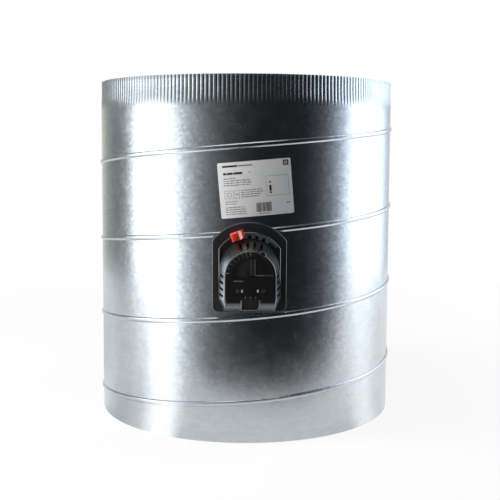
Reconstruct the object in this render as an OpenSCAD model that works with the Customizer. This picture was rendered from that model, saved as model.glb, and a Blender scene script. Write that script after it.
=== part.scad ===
// Motorized round duct damper: a galvanised spiral duct section with a butterfly blade
// on a through shaft, and a spring return actuator on its front.
// Origin: on the duct axis at the plain rim. +Z runs up the duct to the crimped end,
// the actuator faces -Y. At rest the blade stands open, edge on to the air.

/* [Duct] */
// Outside diameter of the duct
duct_d = 406.4; // [400:0.2:430]
// Thickness of the galvanised sheet
duct_wall = 0.7; // [0.5:0.05:0.9]
// Length of the plain part, up to where the crimp starts
plain_len = 414; // [412:1:450]
// Length of the crimped male end
crimp_len = 38; // [30:1:60]
// Number of crimps round the male end
crimp_count = 240; // [180:4:240]
// Depth of a crimp, from crest to groove
crimp_depth = 1.7; // [1.2:0.1:2.2]
// How far the crests are drawn in from the plain diameter
crimp_inset = 0.9; // [0.4:0.1:1.5]
// Length over which the crimps fade into the plain tube
crimp_fade = 6; // [4:0.5:10]
// Rise of the spiral lock seam in one turn
seam_pitch = 105; // [102:0.5:107]
// Height of the top seam at the front of the duct
seam_front_z = 366.4; // [364:0.2:368]
// Width of the folded seam
seam_w = 7.5; // [5:0.5:9]
// How far the folded seam stands out of the tube
seam_h = 1.9; // [1.2:0.1:2.2]
// Gap between the seam's fold and the round tube
seam_gap = 0.3; // [0.25:0.05:0.4]

/* [Label] */
// Width of the white label
label_w = 89; // [60:1:100]
// Height of the white label
label_h = 67; // [50:1:75]
// Thickness of the label
label_t = 0.2; // [0.1:0.05:0.4]
// Height of the label's centre above the plain rim
label_z = 314.8; // [313:0.2:316]
// Angle of the label's centre round the duct, to the right of the actuator
label_turn = 2.2; // [0:0.1:4]
// Tilt of the label, which lies along the seams
label_tilt = 4.9; // [4:0.1:5.5]
// Radius of the label's corners
label_corner_r = 2; // [1:0.5:5]

/* [Shaft and blade] */
// Height of the shaft above the plain rim
shaft_z = 218.5; // [217:0.5:220]
// Diameter of the shaft
shaft_d = 12.7; // [12:0.1:13.2]
// Distance of the shaft's flat from its axis
shaft_flat = 4; // [3.6:0.1:4.6]
// Distance of the spot faces under the bolt heads from the shaft's axis
shaft_spot = 5; // [4.6:0.1:5.4]
// How far the shaft stands out of the duct at the back
shaft_tail = 9; // [8:0.5:20]
// Depth of the shaft's end inside the actuator, from the duct's front
shaft_nose = 22.4; // [22:0.1:22.5]
// Thickness of one blade sheet
blade_t = 0.8; // [0.6:0.1:1.2]
// Gap between the blade sheets' edge and the duct
blade_gap = 3; // [2:0.5:5]
// Thickness of the blade's rubber gasket
blade_seal_t = 1.5; // [1:0.1:2]
// Gap between the blade gasket's edge and the duct
seal_gap = 0.6; // [0.5:0.1:1]
// Half height of the notch that clears the bearing
notch_half = 16; // [14.5:0.5:20]
// Depth of the notch, from the gasket's edge
notch_deep = 6.2; // [6:0.1:8]
// Number of bolts along the shaft
bolt_count = 3; // [2:1:4]
// Distance between the blade bolts
bolt_pitch = 110; // [60:5:110]
// Diameter of the blade bolts
bolt_d = 6; // [5:0.5:6]
// Width of the bolt heads and nuts, flat to flat
hex_w = 10; // [9:0.5:11]
// Height of the bolt heads
head_h = 3.6; // [3:0.1:5]
// Height of the nuts
nut_h = 4.5; // [4:0.1:6]
// Diameter of the washers
washer_d = 13; // [12:0.5:16]
// Thickness of the washers
washer_t = 1; // [0.8:0.1:1.6]
// Number of rivets round the blade's edge
edge_rivet_count = 12; // [8:4:24]
// Distance of the edge rivets from the blade sheets' edge
edge_rivet_in = 12; // [10:1:30]

/* [Bearings] */
// Outside diameter of a bush where it passes the duct wall
bush_d = 18; // [17:0.5:19]
// Diameter of a bush's flange
bush_flange_d = 24; // [22:0.5:25]
// Thickness of a bush's flange
bush_flange_t = 1.9; // [1.5:0.1:2]
// How far a bush reaches into the duct, from the wall's outer face
bush_reach = 4.2; // [4:0.1:4.4]
// Diameter of the push ring that holds a bush from inside
push_ring_d = 23; // [22:0.5:25]
// Thickness of the push ring
push_ring_t = 1.2; // [0.8:0.1:1.4]
// Radial play between the shaft and its bushes
shaft_play = 0.06; // [0.03:0.01:0.08]
// Diameter of the shaft in its clip grooves
clip_groove_d = 10.2; // [10:0.1:11]
// Outside diameter of a shaft clip
clip_d = 19; // [17:0.5:21]
// Thickness of a shaft clip
clip_t = 1.2; // [1:0.1:1.3]
// Width of the slot in a shaft clip
clip_slot = 7; // [6:0.5:8]

/* [Mounting plate] */
// Half width of the mounting plate
plate_half_w = 45; // [44:0.5:48]
// Radius of the plate's arched top, about the shaft
plate_arch_r = 56; // [54:0.5:58]
// Distance from the shaft to the plate's bottom edge
plate_drop = 53.8; // [53:0.2:55]
// Radius of the plate's bottom corners
plate_corner_r = 8; // [6:0.5:9]
// Height of the plate's front face above the duct
plate_top = 7; // [6.6:0.1:8]
// Thickness of the foam gasket between the plate and the duct
foam_t = 2; // [1.6:0.1:2.2]
// Width of the plate's rim outside the foam gasket
plate_rim = 2.5; // [2:0.5:4]
// Height of the relief that clears the lock seam
seam_relief_w = 13; // [12:0.5:15]
// Diameter of the plate rivets
rivet_d = 4; // [3.2:0.2:4.4]
// Diameter of the plate rivets' heads
rivet_head_d = 8; // [7:0.5:8.5]
// Thickness of the plate rivets' heads
rivet_head_t = 1.5; // [1:0.1:1.7]
// Depth of the pockets for the plate rivets' heads
rivet_pocket = 2.4; // [2:0.1:2.6]
// Distance of the upper plate rivets from the centre line
rivet_up_x = 22; // [20:0.5:23]
// Height of the upper plate rivets above the shaft, clear of the blade's sweep
rivet_up = 34; // [33:0.5:34.5]
// Distance of the lower plate rivets from the centre line
rivet_low_x = 26; // [25:0.5:27.5]
// Distance of the lower plate rivets below the shaft
rivet_down = 39; // [38:0.5:40]

/* [Actuator base] */
// Thickness of the actuator base
base_t = 5.8; // [5.6:0.1:6.6]
// Radius of the base's arched top, about the shaft
base_arch_r = 44.75; // [43.5:0.25:46]
// Half width of the base
base_half_w = 37.5; // [37.5:0.5:39]
// Distance from the shaft down to where the lower corners are cut off
base_cheek = 35.5; // [34:0.5:37]
// Half width of the base's bottom edge
base_foot_half = 31; // [30.5:0.5:33]
// Distance from the shaft to the base's bottom edge
base_drop = 50.8; // [50.4:0.2:52]
// Radius of the circle of square holes for the range stop
stop_hole_r = 38.7; // [38.6:0.1:39.2]
// Width of a square hole
stop_hole_w = 3.7; // [3.4:0.1:3.8]
// Number of square holes
stop_hole_count = 5; // [5:2:5]
// Number of steps in the quarter turn scale
scale_steps = 7; // [7:1:8]
// Diameter of the round pocket in the base
pocket_d = 52; // [51:0.5:53]
// Thickness of the floor under the pocket
base_floor = 2; // [1.6:0.1:2.2]
// Diameter of the base screws
screw_d = 3; // [2.6:0.1:3.2]
// Diameter of the base screws' heads
screw_head_d = 5.4; // [5:0.1:5.8]
// Height of the base screws' heads
screw_head_h = 2; // [1.6:0.1:2.4]
// Diameter of the posts that carry the gear plate
post_d = 5.4; // [5:0.1:5.6]
// Diameter of the small screws in the posts, the standoffs and the motor's ears
small_screw_d = 2; // [1.6:0.1:2.2]
// Diameter of the small screws' heads
small_head_d = 4; // [3.6:0.1:4.2]
// Height of the small screws' heads
small_head_h = 1.2; // [0.8:0.1:1.3]

/* [Front cover] */
// Depth of the cover, from the base to its face
cover_deep = 36.8; // [36.6:0.1:40]
// Thickness of the cover's wall
cover_wall = 2; // [1.6:0.1:2.1]
// Thickness of the cover's face
face_t = 2.4; // [2.2:0.1:2.8]
// Radius of the cover's arch where it meets the base
cover_arch_r = 36; // [35.75:0.05:36.2]
// Distance below the shaft where the cover is at its widest
cover_wide_z = 22.5; // [20:0.5:25]
// Radius of the arch of the cover's face
face_arch_r = 30; // [29.75:0.25:31]
// How far the centre of the face's arch lies below the shaft
face_arch_z = 4.5; // [4:0.1:5]
// Distance from the shaft down to the lower edge of the face
face_drop = 30.8; // [30.7:0.1:31.5]
// Distance from the shaft down to the middle of the rounded lip below the face
lip_drop = 38; // [36:0.1:39]
// How far the middle of the lip lies behind the face
lip_deep = 3; // [2.6:0.1:5]
// Half width of the notch over the terminals
notch_half_w = 11.7; // [11:0.1:12.5]
// Width of a vent slot
vent_w = 2.9; // [2:0.1:3.2]
// Length of a vent slot, along the cover's depth
vent_len = 22; // [8:0.5:24]
// Distance between the vent slots in a side wall
vent_pitch = 7.6; // [6.8:0.1:8]
// Depth of the pointer's recess in the face
recess_deep = 1.2; // [0.8:0.1:1.3]
// Radius of the pointer's recess
recess_r = 18.5; // [18:0.5:20]
// How far the pointer's recess reaches below the shaft's axis
recess_drop = 5.2; // [5:0.1:6]
// Width of the snap legs inside the cover's side walls
snap_w = 8; // [6:0.5:9]
// Thickness of the snap legs
snap_t = 1.9; // [1.6:0.1:2]
// How far the snap legs reach into the base
snap_deep = 3; // [2:0.1:4]

/* [Pointer and range stop] */
// Length of the pointer, from the shaft's axis
pointer_len = 16.5; // [14:0.5:17]
// Width of the pointer
pointer_w = 5.5; // [4.5:0.1:6]
// Diameter of the pointer's hub
pointer_hub_d = 9; // [8:0.5:9.5]
// Diameter of the stem behind the pointer
stem_d = 5; // [4:0.1:5.2]
// How far the pointer stands proud of the face
pointer_proud = 0.8; // [0.4:0.1:1.5]
// Depth of the stem's socket in the shaft's end
stem_socket = 4; // [3:0.5:6]
// Width of the range stop's head
stop_head_w = 17; // [15:0.5:18]
// Height of the range stop's head, away from the shaft
stop_head_h = 10.6; // [10:0.1:12.8]
// Depth of the range stop's head
stop_head_deep = 13; // [8:0.5:16]
// Radius of the range stop head's outer corners
stop_corner_r = 3; // [1:0.5:5]
// Distance of the head's centre from the shaft
stop_head_r = 43.4; // [42.8:0.1:43.6]
// Gap round the range stop's prongs
stop_gap = 0.15; // [0.1:0.05:0.25]

/* [Gear train] */
// Gear module of the output stage
mod_out = 0.8; // [0.79:0.01:0.8]
// Gear module of the motor stage
mod_in = 0.5; // [0.48:0.01:0.5]
// Teeth of the output gear
teeth_out = 60; // [58:1:60]
// Teeth of the idler's pinion
teeth_idler_pinion = 12; // [12:1:12]
// Teeth of the idler's wheel
teeth_idler_wheel = 46; // [44:1:46]
// Teeth of the motor's pinion
teeth_motor = 12; // [12:1:13]
// Width of the output gear's teeth
face_out = 4.5; // [4.2:0.1:4.6]
// Width of the idler wheel's teeth
face_in = 3.2; // [3:0.1:3.3]
// Gap between the layers of gears
layer_gap = 0.6; // [0.5:0.05:0.65]
// Gap between the output gear and the base
gear_lift = 1.5; // [1.2:0.1:1.6]
// Play between meshed teeth, at the pitch circle
backlash = 0.14; // [0.1:0.01:0.2]
// Radial gap where a gear turns on its axle
gear_play = 0.1; // [0.06:0.01:0.15]
// Diameter of the output gear's hub
hub_d = 18; // [17.5:0.1:18.4]
// Diameter of the screw that locks the hub on the shaft
hub_screw_d = 2.6; // [2:0.1:2.8]
// Diameter of the idler's axle
axle_d = 3; // [2.5:0.1:3.2]
// Thickness of the steel plate over the gears
gear_plate_t = 1.2; // [1:0.1:1.3]
// Diameter of the motor's body
motor_d = 24; // [22:0.5:24.5]
// Length of the motor's body
motor_len = 10; // [8:0.5:10.5]
// Diameter of the motor's shaft
motor_shaft_d = 2; // [1.5:0.1:2.2]
// Distance of the motor's ears' screws from its axis
motor_ear_r = 14.6; // [14.4:0.1:15]
// Thickness of the return spring's strip
spring_t = 0.5; // [0.3:0.05:0.7]
// Width of the return spring's strip
spring_w = 3.8; // [3:0.1:4]
// Number of turns of the return spring
spring_turns = 4.5; // [3:0.5:5]

/* [Circuit board and terminals] */
// Half width of the circuit board
board_half_w = 27.5; // [26.5:0.25:28]
// Thickness of the circuit board
board_t = 1.6; // [1.2:0.1:1.8]
// Height of the standoffs under the board
standoff_h = 11.7; // [11.5:0.1:12]
// Diameter of the standoffs
standoff_d = 5; // [4.5:0.1:5.2]
// Height of the light chips on the board
light_chip_h = 1.2; // [0.8:0.1:2]
// Height of the tallest parts on the board
board_part_h = 7; // [4:0.5:8]
// Distance of the indicator lights from the centre line
light_x = 9.2; // [8.5:0.1:10]
// Distance of the indicator lights below the shaft
light_z = 20.8; // [20:0.1:22]
// Radius of the half round light windows
light_r = 1.7; // [1.5:0.1:2.4]
// Half width of the terminal block
block_half_w = 9.5; // [9.2:0.1:10.4]
// Distance of the block's bottom below the shaft
block_drop = 46.5; // [46.4:0.1:47]
// How far the block is sunk below the cover's slope
block_sink = 2; // [1.5:0.1:2.2]
// Distance between the wire ports
port_pitch = 5.8; // [5.4:0.1:6]
// Diameter of a wire port
port_d = 2.5; // [2:0.1:2.6]
// Depth of a wire port
port_deep = 9; // [8:0.5:9.5]
// Width of a wire release button
button_w = 3.6; // [3:0.1:3.8]
// Gap round a wire release button
button_gap = 0.2; // [0.15:0.05:0.3]
// How far a wire release button can be pressed in
button_travel = 1.5; // [1:0.1:1.6]

/* [Hidden] */

// Overrun of a cut past the face that it opens
cut = 1;
// Thickness of the thin slices that a tapered form is spanned between
slice = 0.2;
// Gap between flat faces that sit on each other
seat = 0.2;
// Gap between round pieces that sit in or on each other
fit_gap = 0.1;
// Gap round what turns or slides past another piece
run_gap = 0.4;

// Duct
duct_r = duct_d / 2;
duct_in_r = duct_r - duct_wall;
crest_r = duct_r - crimp_inset;
seam_top_w_share = 0.62;
seam_step = 5;
seam_slope = atan(seam_pitch / (2 * PI * duct_r));
// Share of the radius at which a cut from the front still meets only the front wall
front_share = 0.9;

// Shaft and blade
shaft_r = shaft_d / 2;
blade_r = duct_in_r - blade_gap;
seal_r = duct_in_r - seal_gap;
notch_y = seal_r - notch_deep;
near_x = shaft_flat;
seal_x = near_x + blade_t;
far_x = seal_x + blade_seal_t;
stack_x = far_x + blade_t;
edge_rivet_r = blade_r - edge_rivet_in;
hex_r = hex_w / sqrt(3);

// Bearings
bush_r = bush_d / 2;
push_ring_r = push_ring_d / 2;
push_ring_dip = duct_r - sqrt(duct_in_r * duct_in_r - push_ring_r * push_ring_r) + fit_gap;
clip_r = clip_d / 2;

// Heights above the duct's front line, of each layer of the actuator
base_low = plate_top + seat;
base_top = base_low + base_t;
floor_top = base_low + base_floor;
cover_low = base_top + seat;
face_top = cover_low + cover_deep;
face_back = face_top - face_t;
recess_floor = face_top - recess_deep;
gear_low = base_top + gear_lift;
gear_top = gear_low + face_out;
wheel_low = gear_top + layer_gap;
wheel_top = wheel_low + face_in;
gear_plate_low = wheel_top + layer_gap;
gear_plate_top = gear_plate_low + gear_plate_t;
hub_low = floor_top + seat;
hub_top = gear_plate_top - seat;
motor_low = gear_plate_top + fit_gap;
motor_top = motor_low + motor_len;
board_low = gear_plate_top + standoff_h;
board_top = board_low + board_t;

// Places on the front, seen from outside with the shaft's axis at zero
rivet_places = [[-rivet_up_x, rivet_up], [rivet_up_x, rivet_up], [-rivet_low_x, -rivet_down],
    [rivet_low_x, -rivet_down]];
base_screw_shares = [[-0.645, -0.866], [0.645, -0.866], [0, 0.61]];
base_screw_places = [for (s = base_screw_shares) [s.x * base_foot_half, s.y * base_drop]];
post_shares = [[-0.736, 0.25], [0.736, 0.25], [-0.75, -1.028], [0.75, -1.028]];
post_places = [for (s = post_shares) s * cover_arch_r];
standoff_shares = [[-0.69, 0.29], [0.69, 0.29], [-0.8, -0.98], [0.9, -0.99]];
standoff_places = [for (s = standoff_shares) s * board_half_w];
snap_y_share = 0.67;
snap_y = -cover_wide_z * snap_y_share;
snap_bite_share = 0.2;
snap_out = cover_arch_r - cover_wall * snap_bite_share + (base_half_w - cover_arch_r) * snap_y_share;
stop_step = 90 / scale_steps;
stop_place_share = 1.5;
stop_dir = stop_step * stop_place_share;
stem_r = stem_d / 2;

// Gear train, seen from outside with the shaft's axis at zero
pressure_angle = 25;
addendum_share = 0.9;
dedendum_share = 1.15;
flank_shares = [0, 0.3, 0.65, 1];
out_r = mod_out * teeth_out / 2;
idler_pinion_r = mod_out * teeth_idler_pinion / 2;
idler_wheel_r = mod_in * teeth_idler_wheel / 2;
motor_pinion_r = mod_in * teeth_motor / 2;
idler_dir = -45;
motor_dir = 170;
motor_ear_dir = 20;
idler_at = (out_r + idler_pinion_r) * [cos(idler_dir), sin(idler_dir)];
motor_at = idler_at + (idler_wheel_r + motor_pinion_r) * [cos(motor_dir), sin(motor_dir)];

// Terminal block
port_edge_share = 1.2;
channel_edge_share = 0.8;
board_drop = face_drop - seat;
block_top_y = -(face_drop + seat);
block_low = base_top + seat;
port_h = block_low + port_d * port_edge_share;
channel_low = port_h + port_d;
channel_top_y = block_top_y - port_d * channel_edge_share;
channel_bottom_y = -block_drop + port_d * port_edge_share;

// Moves the front view onto the duct: x to the right, y up and z out of the duct
module on_front(h = 0) {
    translate([0, -(duct_r + h), shaft_z]) rotate([90, 0, 0]) children();
}

// A duct cylinder of a radius, a little longer than the plain tube
module duct_round(r) {
    translate([0, 0, -cut]) cylinder(r = r, h = plain_len + 2 * cut, $fn = 180);
}

// A prism along x, from an outline of [height, depth] points
module side_prism(half_w) {
    translate([-half_w, 0, 0]) rotate([90, 0, 90]) linear_extrude(2 * half_w) children();
}

// A rectangle about the origin with round corners
module round_rect(w, h, r) {
    square([w - 2 * r, h], center = true);
    square([w, h - 2 * r], center = true);
    for (x = [-1, 1], y = [-1, 1]) {
        translate([x * (w / 2 - r), y * (h / 2 - r)]) circle(r = r, $fn = 32);
    }
}

// The duct
module duct_tube() {
    color("silver") difference() {
        cylinder(r = duct_r, h = plain_len, $fn = 180);
        duct_round(duct_in_r);
        for (side = [0, 180]) {
            rotate([0, 0, side]) on_front(-duct_r) {
                translate([0, 0, duct_r * front_share]) cylinder(r = bush_r + fit_gap,
                    h = duct_r, $fn = 64);
            }
        }
        on_front(-duct_r) for (p = rivet_places) {
            translate([p.x, p.y, duct_r * front_share]) {
                cylinder(r = rivet_d / 2 + fit_gap, h = duct_r, $fn = 32);
            }
        }
    }
}

// The crimped ring: three levels of points, outer skin then inner skin
module crimped_end() {
    n = 2 * crimp_count;
    levels = [[plain_len, 0], [plain_len + crimp_fade, 1], [plain_len + crimp_len, 1]];
    points = [for (skin = [0, 1], level = levels, i = [0 : n - 1])
        let (crimped = crest_r - (i % 2) * crimp_depth,
            r = duct_r + (crimped - duct_r) * level[1] - skin * duct_wall,
            a = 360 * i / n)
        [r * cos(a), r * sin(a), level[0]]];
    inner = 3 * n;
    top = 2 * n;
    sides = [for (k = [0, 1], i = [0 : n - 1])
        let (a = k * n + i, b = k * n + (i + 1) % n)
        each [[a, a + n, b + n], [a, b + n, b],
            [inner + a, inner + b + n, inner + a + n], [inner + a, inner + b, inner + b + n]]];
    ends = [for (i = [0 : n - 1])
        let (j = (i + 1) % n)
        each [[i, j, inner + j], [i, inner + j, inner + i],
            [top + i, inner + top + j, top + j], [top + i, inner + top + i, inner + top + j]]];
    color("silver") polyhedron(points, concat(sides, ends));
}

// A stretch of the folded lock seam, a right hand helix between two turn angles
module seam_run(turn_from, turn_to) {
    steps = ceil((turn_to - turn_from) / seam_step);
    half = seam_w / 2;
    section = [[seam_gap, -half], [seam_gap, half], [seam_h, half * seam_top_w_share],
        [seam_h, -half * seam_top_w_share]];
    points = [for (j = [0 : steps], p = section)
        let (a = turn_from + (turn_to - turn_from) * j / steps,
            r = duct_r + p.x)
        [r * sin(a), -r * cos(a), seam_front_z + seam_pitch * a / 360 + p.y]];
    sides = [for (j = [0 : steps - 1], k = [0 : 3])
        let (a = 4 * j + k, b = 4 * j + (k + 1) % 4)
        each [[b, a, a + 4], [b, a + 4, b + 4]]];
    last = 4 * steps;
    ends = [[0, 1, 2], [0, 2, 3], [last, last + 2, last + 1], [last, last + 3, last + 2]];
    polyhedron(points, concat(sides, ends));
}

// The lock seam from the rim to the crimp, pressed flat where it passes the rear bush
module lock_seam() {
    low = seam_w / 2 + fit_gap;
    high = plain_len - low;
    bush_turn = 360 * round((seam_turn(shaft_z) - 180) / 360) + 180;
    flat = (bush_flange_d / 2 + 2 * run_gap) / duct_r * 180 / PI;
    color("gainsboro") {
        seam_run(seam_turn(low), bush_turn - flat);
        seam_run(bush_turn + flat, seam_turn(high));
    }
}

// The turn angle at which the seam passes a height, zero at the top seam's front
function seam_turn(z) = (z - seam_front_z) / seam_pitch * 360;

module data_label() {
    color("white") intersection() {
        difference() {
            duct_round(duct_r + fit_gap + label_t);
            duct_round(duct_r + fit_gap);
        }
        rotate([0, 0, label_turn]) translate([0, 0, label_z]) rotate([90, 0, 0]) {
            translate([0, 0, duct_r * front_share]) linear_extrude(duct_r) {
                rotate(label_tilt) round_rect(label_w, label_h, label_corner_r);
            }
        }
    }
}

// A flanged bush in the front view, with its bore through
module bush() {
    color("tan") difference() {
        union() {
            translate([0, 0, -bush_reach]) cylinder(r = bush_r, h = bush_reach + bush_flange_t, $fn = 64);
            translate([0, 0, fit_gap]) cylinder(r = bush_flange_d / 2, h = bush_flange_t, $fn = 64);
        }
        translate([0, 0, -bush_reach - cut]) {
            cylinder(r = shaft_r + shaft_play, h = bush_reach + bush_flange_t + 3 * cut, $fn = 64);
        }
    }
}

// The spring steel ring that grips a bush inside the duct
module push_ring() {
    color("dimgray") translate([0, 0, -push_ring_dip - push_ring_t]) difference() {
        cylinder(r = push_ring_r, h = push_ring_t, $fn = 64);
        translate([0, 0, -cut]) cylinder(r = bush_r + fit_gap, h = push_ring_t + 2 * cut, $fn = 64);
    }
}

module front_bush() {
    on_front() bush();
}

module rear_bush() {
    rotate([0, 0, 180]) on_front() bush();
}

module front_push_ring() {
    on_front() push_ring();
}

module rear_push_ring() {
    rotate([0, 0, 180]) on_front() push_ring();
}

// The mounting plate's outline, drawn in by an inset
module plate_outline(inset = 0) {
    half = plate_half_w - inset;
    drop = plate_drop - inset;
    corner = plate_corner_r - inset;
    intersection() {
        circle(r = plate_arch_r - inset, $fn = 96);
        translate([-half, 0]) square([2 * half, plate_arch_r]);
    }
    translate([-half, corner - drop]) square([2 * half, drop - corner]);
    translate([corner - half, -drop]) square([2 * (half - corner), drop]);
    for (x = [-1, 1]) translate([x * (half - corner), corner - drop]) circle(r = corner, $fn = 48);
}

// A block in the front view that reaches from below the duct's wall to a depth
module plate_block(top, inset = 0) {
    deep = duct_r - sqrt(duct_r * duct_r - plate_half_w * plate_half_w) + cut;
    translate([0, 0, -deep]) linear_extrude(deep + top) plate_outline(inset);
}

// The room that the lock seam needs under the plate
module seam_relief() {
    intersection() {
        duct_round(duct_r + seam_h + run_gap);
        on_front(-duct_r) translate([0, seam_front_z - seam_pitch - shaft_z, duct_r * front_share]) {
            rotate(seam_slope) linear_extrude(duct_r) {
                square([4 * plate_half_w, seam_relief_w], center = true);
            }
        }
    }
}

// Holes through the plate and the foam for the bush's flange and the rivets
module plate_holes() {
    on_front(-duct_r) translate([0, 0, duct_r * front_share]) {
        cylinder(r = bush_flange_d / 2 + run_gap, h = duct_r, $fn = 64);
        for (p = rivet_places) translate(p) cylinder(r = rivet_d / 2 + fit_gap, h = duct_r, $fn = 32);
    }
}

module foam_gasket() {
    color("dimgray") difference() {
        intersection() {
            duct_round(duct_r + foam_t);
            on_front() plate_block(foam_t, plate_rim + fit_gap);
        }
        duct_round(duct_r + fit_gap);
        seam_relief();
        plate_holes();
    }
}

module mounting_plate() {
    color("#3a3b3d") difference() {
        on_front() plate_block(plate_top);
        duct_round(duct_r + run_gap);
        intersection() {
            duct_round(duct_r + foam_t + fit_gap);
            on_front() plate_block(plate_top, plate_rim);
        }
        seam_relief();
        plate_holes();
        on_front() {
            for (p = rivet_places) translate([p.x, p.y, plate_top - rivet_pocket]) {
                cylinder(r = rivet_head_d / 2 + run_gap, h = rivet_pocket + cut, $fn = 32);
            }
            for (p = base_screw_places) translate([p.x, p.y, plate_top / 2 - seat]) {
                cylinder(r = screw_d / 2 + fit_gap, h = plate_top, $fn = 32);
            }
        }
    }
}

module plate_rivets() {
    top = plate_top - rivet_pocket;
    color("lightgray") on_front() for (p = rivet_places) translate(p) {
        edge_x = abs(p.x) + rivet_head_d / 2;
        low = sqrt(duct_in_r * duct_in_r - edge_x * edge_x) - duct_r - fit_gap - rivet_head_t;
        translate([0, 0, top]) cylinder(r = rivet_head_d / 2, h = rivet_head_t, $fn = 32);
        translate([0, 0, low]) cylinder(r = rivet_head_d / 2, h = rivet_head_t, $fn = 32);
        translate([0, 0, low]) cylinder(r = rivet_d / 2, h = top - low + rivet_head_t, $fn = 32);
    }
}

// The actuator base's outline: an arch, straight sides and cut lower corners
module base_outline() {
    intersection() {
        circle(r = base_arch_r, $fn = 96);
        translate([-base_half_w, 0]) square([2 * base_half_w, base_arch_r]);
    }
    polygon([[-base_half_w, 0], [-base_half_w, -base_cheek], [-base_foot_half, -base_drop],
        [base_foot_half, -base_drop], [base_half_w, -base_cheek], [base_half_w, 0]]);
}

// Places children at each square hole of the range stop, turned to face the shaft
module at_stop_holes(steps) {
    for (i = steps) rotate(stop_step * i) translate([0, stop_hole_r]) children();
}

module actuator_base() {
    hole_side = (stop_hole_count - 1) / 2;
    color("#1d1e20") on_front() difference() {
        union() {
            difference() {
                translate([0, 0, base_low]) linear_extrude(base_t) base_outline();
                translate([0, 0, floor_top]) cylinder(d = pocket_d, h = base_t, $fn = 96);
            }
            for (p = post_places) translate([p.x, p.y, floor_top - cut / 2]) {
                cylinder(d = post_d, h = gear_plate_low - floor_top + cut / 2 - fit_gap, $fn = 32);
            }
        }
        cylinder(r = shaft_r + run_gap, h = base_top + cut, $fn = 64);
        translate([idler_at.x, idler_at.y, floor_top]) {
            cylinder(r = axle_d / 2 + fit_gap, h = base_t + cut, $fn = 32);
        }
        translate([0, 0, floor_top]) linear_extrude(base_t) at_stop_holes([-hole_side : hole_side]) {
            square(stop_hole_w, center = true);
        }
        for (p = base_screw_places) translate([p.x, p.y, 0]) {
            cylinder(r = screw_d / 2 + fit_gap, h = face_top, $fn = 32);
            translate([0, 0, base_top - screw_head_h - seat]) {
                cylinder(r = screw_head_d / 2 + seat, h = face_top, $fn = 32);
            }
        }
        for (p = post_places) translate([p.x, p.y, gear_low]) {
            cylinder(r = small_screw_d / 2 + fit_gap, h = face_top, $fn = 32);
        }
        for (x = [-1, 1]) {
            translate([x * (snap_out - snap_t / 2) - snap_t / 2 - seat, snap_y - snap_w / 2 - seat,
                cover_low - snap_deep - 2 * seat]) {
                cube([snap_t + 2 * seat, snap_w + 2 * seat, face_top]);
            }
        }
    }
}

// A screw that points down from a seat at zero
module screw(d, head_d, head_h, len) {
    cylinder(d = head_d, h = head_h, $fn = 32);
    translate([0, 0, -len]) cylinder(d = d, h = len + head_h / 2, $fn = 32);
}

module base_screws() {
    top = base_top - screw_head_h - seat;
    color("silver") on_front() for (p = base_screw_places) translate([p.x, p.y, top]) {
        screw(screw_d, screw_head_d, screw_head_h, top - plate_top / 2);
    }
}

// The cover's tapered form, drawn in by an inset, between two depths
module cover_form(inset, low, high) {
    hull() {
        translate([0, 0, low]) linear_extrude(slice) {
            circle(r = cover_arch_r - inset, $fn = 72);
            polygon([[-(base_half_w - inset), -cover_wide_z], [-(base_half_w - inset), -base_cheek],
                [-(base_foot_half - inset), inset - base_drop], [base_foot_half - inset, inset - base_drop],
                [base_half_w - inset, -base_cheek], [base_half_w - inset, -cover_wide_z]]);
        }
        translate([inset - face_arch_r, inset - lip_drop, high - lip_deep]) {
            cube([2 * (face_arch_r - inset), slice, slice]);
        }
        translate([0, -face_arch_z, high - slice]) linear_extrude(slice) {
            circle(r = face_arch_r - inset, $fn = 72);
            translate([inset - face_arch_r, face_arch_z + inset - face_drop]) {
                square([2 * (face_arch_r - inset), face_drop - inset]);
            }
        }
    }
}

// Half round window of a light, its flat side towards the centre line
module light_window(r) {
    flat_share = 0.25;
    intersection() {
        circle(r = r, $fn = 48);
        translate([-r, -r]) square([r + light_r * flat_share, 2 * r]);
    }
}

module front_cover() {
    vent_h = cover_low + (cover_deep - vent_len) / 2;
    top_vent_shares = [1.62, 0.41, -0.78, -1.98];
    side_vent_share = 0.6;
    color("#161719") on_front() difference() {
        union() {
            difference() {
                cover_form(0, cover_low, face_top);
                cover_form(cover_wall, cover_low - slice, face_back);
            }
            for (x = [-1, 1]) {
                translate([x * (snap_out - snap_t / 2) - snap_t / 2, snap_y - snap_w / 2,
                    cover_low - snap_deep]) {
                    cube([snap_t, snap_w, snap_deep + 2 * cover_wall]);
                }
            }
        }
        translate([-notch_half_w, -2 * base_drop, 0]) {
            cube([2 * notch_half_w, 2 * base_drop - face_drop, 2 * face_top]);
        }
        for (s = top_vent_shares) rotate(s * stop_step) {
            translate([-vent_w / 2, face_arch_r / 2, vent_h]) cube([vent_w, cover_arch_r, vent_len]);
        }
        for (x = [0, 180], i = [0 : 3]) rotate([0, x, 0]) {
            translate([face_arch_r * side_vent_share, -(cover_wide_z / 4 + i * vent_pitch) - vent_w / 2,
                x == 0 ? vent_h : -vent_h - vent_len]) cube([cover_arch_r, vent_w, vent_len]);
        }
        translate([0, 0, recess_floor]) linear_extrude(face_t) {
            circle(r = pointer_hub_d / 2 + run_gap, $fn = 64);
            intersection() {
                circle(r = recess_r, $fn = 96);
                translate([-recess_r, -recess_drop]) {
                    square([recess_r + pointer_w + run_gap, recess_r + recess_drop]);
                }
            }
        }
        cylinder(r = stem_r + run_gap, h = 2 * face_top, $fn = 48);
        for (x = [-1, 1]) translate([x * light_x, -light_z, board_top + board_t]) {
            linear_extrude(face_top) light_window(light_r + fit_gap);
        }
    }
}

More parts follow.
